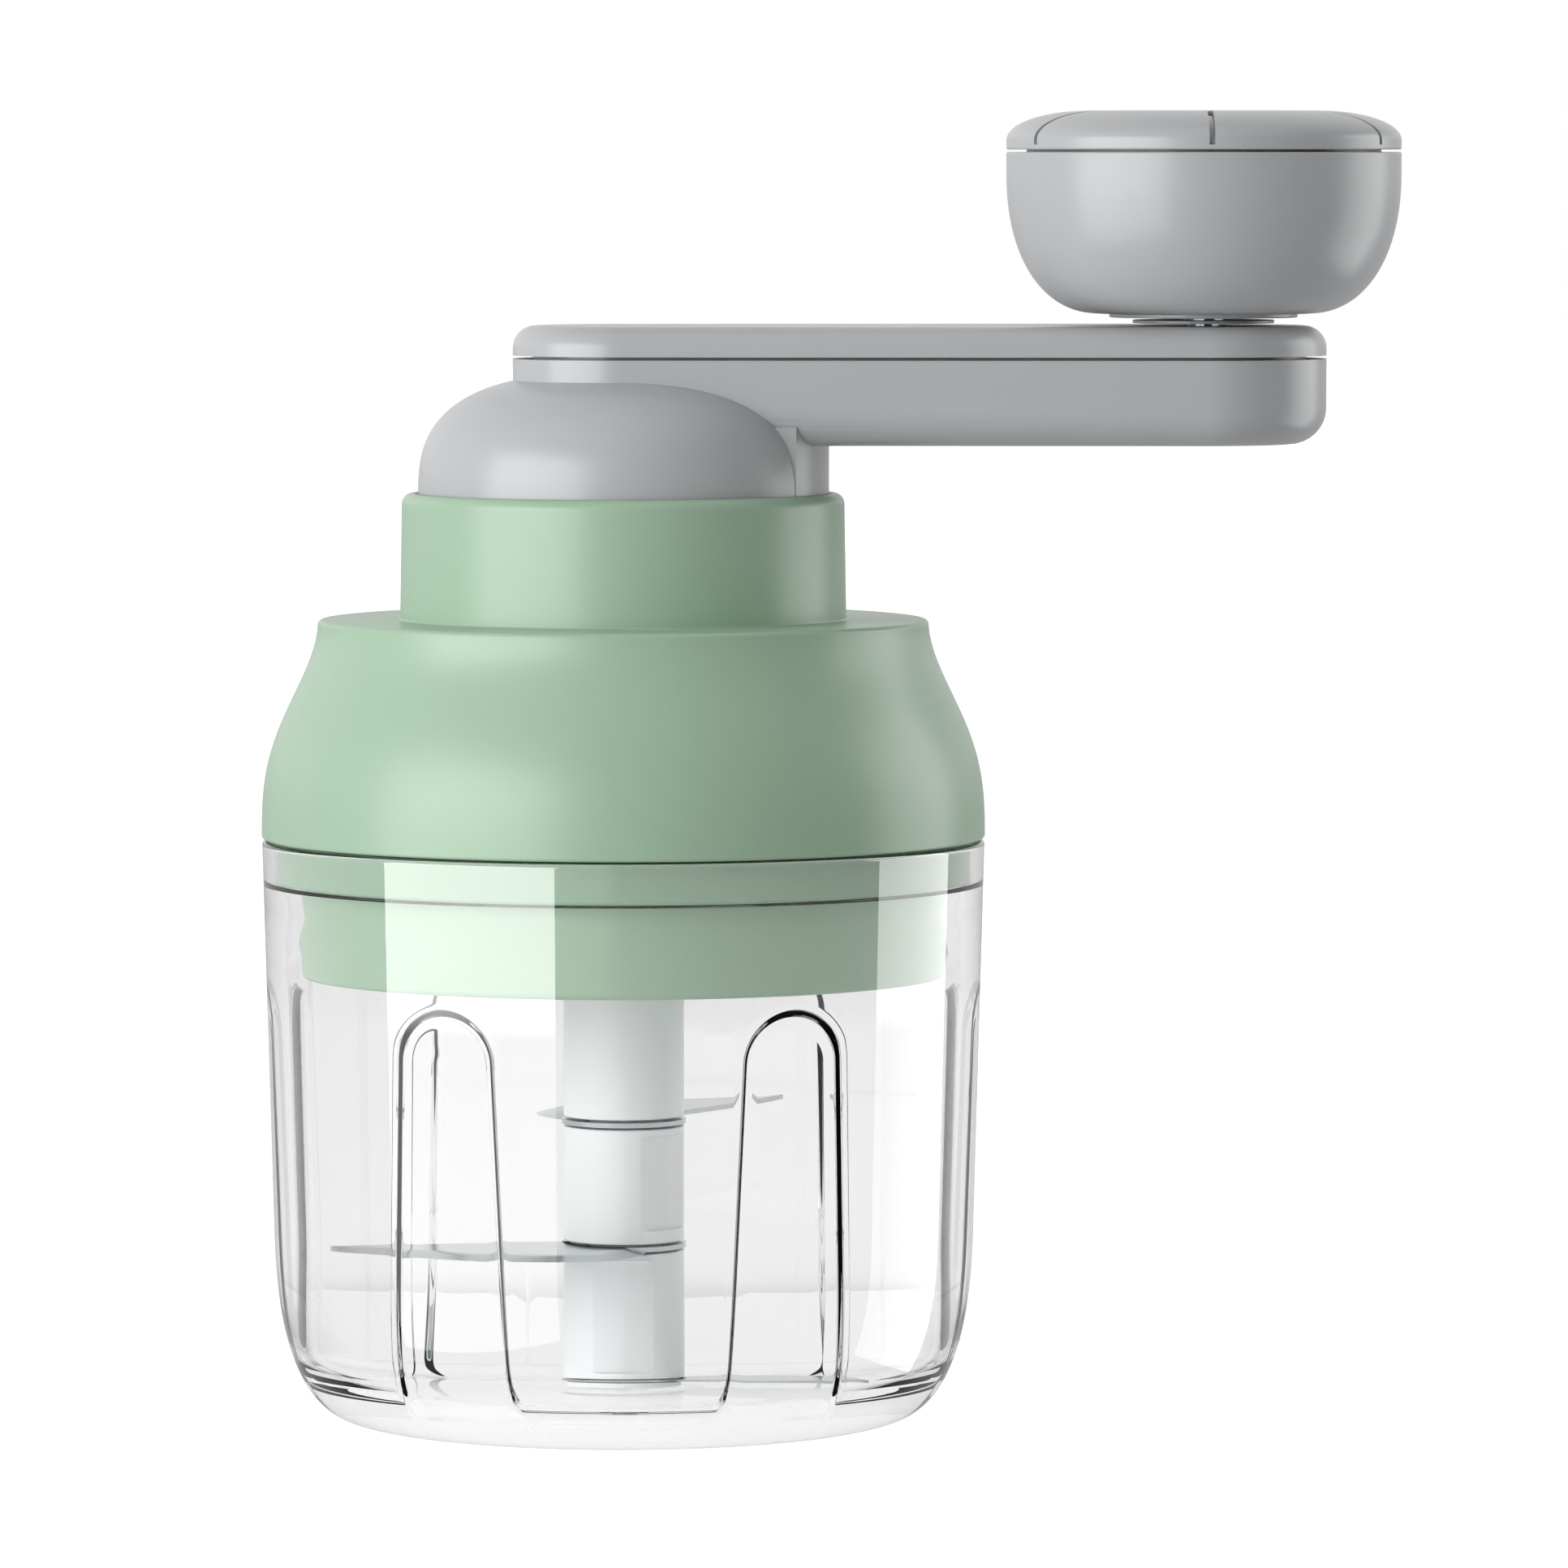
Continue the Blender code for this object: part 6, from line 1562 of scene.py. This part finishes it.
@dataclass
class Studio:
    """White studio: floor, two soft boxes, the sky's fill light and the camera."""

    camera_place: Place = (0.020, -1.21, 0.1575)
    camera_target: Place = (0.020, 0.0, 0.0791)
    lens: float = 223.4
    sensor: float = 36.0
    boxes: tuple[SoftBox, ...] = (SoftBox("left_soft_box", -50.0, 5.1, 1.25),
                                  SoftBox("right_soft_box", 107.0, 3.15, 0.74))
    fill: float = 0.05             # sky light on matt surfaces, from the sides
    overhead: float = 0.85         # sky light on them from straight above
    overhead_from: float = 0.6     # upward part of the direction at which it starts to rise
    room: float = 0.15             # what gloss sees in front of the white backdrop
    backdrop: float = 1.0          # how much of its white the gloss shows
    backdrop_from: tuple[float, float] = (-0.2, 0.7)   # rearward part of the direction from room to backdrop
    low_share: float = 0.52        # share of the backdrop that gloss sees below the horizon
    horizon: tuple[float, float] = (-0.08, 0.12)       # upward part of the direction over which that rises
    floor_size: float = 12.0
    floor_z: float = -0.05 * MM
    floor_paint: str = "#D6D6D6"
    floor_glow: tuple[float, float] = (0.66, 0.98)     # under the object, and away from it
    shadow_reach: tuple[float, float] = (0.05, 0.4)    # distances between which the glow rises
    glow_through: float = 0.6      # the glow that shows through glass

    def build(self) -> None:
        """Set up the whole studio."""
        self.build_camera()
        self.build_floor()
        self.build_sky()
        for box in self.boxes:
            box.build()
        bpy.context.scene.view_settings.view_transform = "Standard"

    def build_camera(self) -> None:
        """Place the camera at the photograph's angle."""
        bpy.ops.object.camera_add(location=self.camera_place)
        camera = bpy.context.object
        camera.name = "studio_camera"
        sight = Vector(self.camera_target) - Vector(self.camera_place)
        camera.rotation_euler = sight.to_track_quat("-Z", "Y").to_euler()
        camera.data.lens = self.lens
        camera.data.sensor_width = self.sensor
        camera.data.sensor_height = self.sensor
        bpy.context.scene.camera = camera

    def build_floor(self) -> None:
        """Lay the white floor, which keeps a soft shadow of the object."""
        floor = add_primitive(bpy.ops.mesh.primitive_plane_add, "studio_floor", size=self.floor_size,
                              location=(0, 0, self.floor_z))
        material, tree, surface = new_material("white_studio_floor")
        path = add_node(tree, "ShaderNodeLightPath")
        through = path.outputs["Is Transmission Ray"]
        seen = add_node(tree, "ShaderNodeMath", {0: path.outputs["Is Camera Ray"], 1: through},
                        operation="MAXIMUM")
        paint = add_node(tree, "ShaderNodeBsdfDiffuse", {"Color": linear(self.floor_paint)})
        place = add_node(tree, "ShaderNodeTexCoord")
        away = add_node(tree, "ShaderNodeVectorMath", {0: place.outputs["Object"]}, operation="LENGTH")
        strength = add_node(tree, "ShaderNodeMapRange", {
            "Value": away.outputs["Value"], "From Min": self.shadow_reach[0],
            "From Max": self.shadow_reach[1], "To Min": self.floor_glow[0], "To Max": self.floor_glow[1]},
            interpolation_type="SMOOTHSTEP")
        level = add_node(tree, "ShaderNodeMapRange", {
            "Value": through, "To Min": strength.outputs["Result"], "To Max": self.glow_through})
        glow = add_node(tree, "ShaderNodeEmission", {"Color": (1.0, 1.0, 1.0, 1.0),
                                                     "Strength": level.outputs["Result"]})
        none = add_node(tree, "ShaderNodeEmission", {"Color": (0.0, 0.0, 0.0, 1.0), "Strength": 0.0})
        lit = add_node(tree, "ShaderNodeMixShader", {0: seen.outputs["Value"], 1: none.outputs["Emission"],
                                                     2: glow.outputs["Emission"]})
        both = add_node(tree, "ShaderNodeAddShader", {0: paint.outputs["BSDF"], 1: lit.outputs["Shader"]})
        tree.links.new(both.outputs["Shader"], surface)
        floor.data.materials.append(material)
        floor.visible_glossy = False

    def build_sky(self) -> None:
        """Surround the object with white for sight, gloss and glass, and a dimmer fill for matt surfaces."""
        world = bpy.data.worlds.new("studio_sky")
        bpy.context.scene.world = world
        world.use_nodes = True
        tree = world.node_tree
        tree.nodes.clear()
        output = add_node(tree, "ShaderNodeOutputWorld")
        path = add_node(tree, "ShaderNodeLightPath")
        # Glass shows the white only to a ray that has met no matt surface yet.
        sight = add_node(tree, "ShaderNodeMath", {0: path.outputs["Diffuse Depth"], 1: 0.5},
                         operation="LESS_THAN")
        glass = add_node(tree, "ShaderNodeMath", {0: path.outputs["Is Transmission Ray"],
                                                  1: sight.outputs["Value"]}, operation="MULTIPLY")
        direct = add_node(tree, "ShaderNodeMath", {0: path.outputs["Is Camera Ray"],
                                                   1: glass.outputs["Value"]}, operation="MAXIMUM")
        place = add_node(tree, "ShaderNodeTexCoord")
        heading = add_node(tree, "ShaderNodeSeparateXYZ", {0: place.outputs["Generated"]})
        backdrop = add_node(tree, "ShaderNodeMapRange", {
            "Value": heading.outputs["Y"], "From Min": self.backdrop_from[0],
            "From Max": self.backdrop_from[1], "To Min": self.room, "To Max": self.backdrop},
            interpolation_type="SMOOTHSTEP")
        rise = add_node(tree, "ShaderNodeMapRange", {
            "Value": heading.outputs["Z"], "From Min": self.horizon[0], "From Max": self.horizon[1],
            "To Min": self.low_share, "To Max": 1.0}, interpolation_type="SMOOTHSTEP")
        shine = add_node(tree, "ShaderNodeMath", {0: backdrop.outputs["Result"],
                                                  1: rise.outputs["Result"]}, operation="MULTIPLY")
        gloss = add_node(tree, "ShaderNodeMath", {0: path.outputs["Is Glossy Ray"],
                                                  1: shine.outputs["Value"]}, operation="MULTIPLY")
        white = add_node(tree, "ShaderNodeMath", {0: direct.outputs["Value"],
                                                  1: gloss.outputs["Value"]}, operation="MAXIMUM")
        fill = add_node(tree, "ShaderNodeMapRange", {
            "Value": heading.outputs["Z"], "From Min": self.overhead_from, "From Max": 1.0,
            "To Min": self.fill, "To Max": self.overhead})
        level = add_node(tree, "ShaderNodeMath", {0: white.outputs["Value"], 1: fill.outputs["Result"]},
                         operation="MAXIMUM")
        sky = add_node(tree, "ShaderNodeBackground", {"Color": (1.0, 1.0, 1.0, 1.0),
                                                      "Strength": level.outputs["Value"]})
        tree.links.new(sky.outputs["Background"], output.inputs["Surface"])


def main() -> None:
    """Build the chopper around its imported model, dress it and light it."""
    logging.basicConfig(level=logging.INFO, format="%(message)s")
    bpy.context.scene.cursor.location = (0.0, 0.0, 0.0)
    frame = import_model()
    Studio().build()
    for part in (Cup(), Lid(), Crank(), Knob(), BladeUnit(), Drive()):
        part.build()
    dress_solids(frame)


if __name__ == "__main__":
    main()
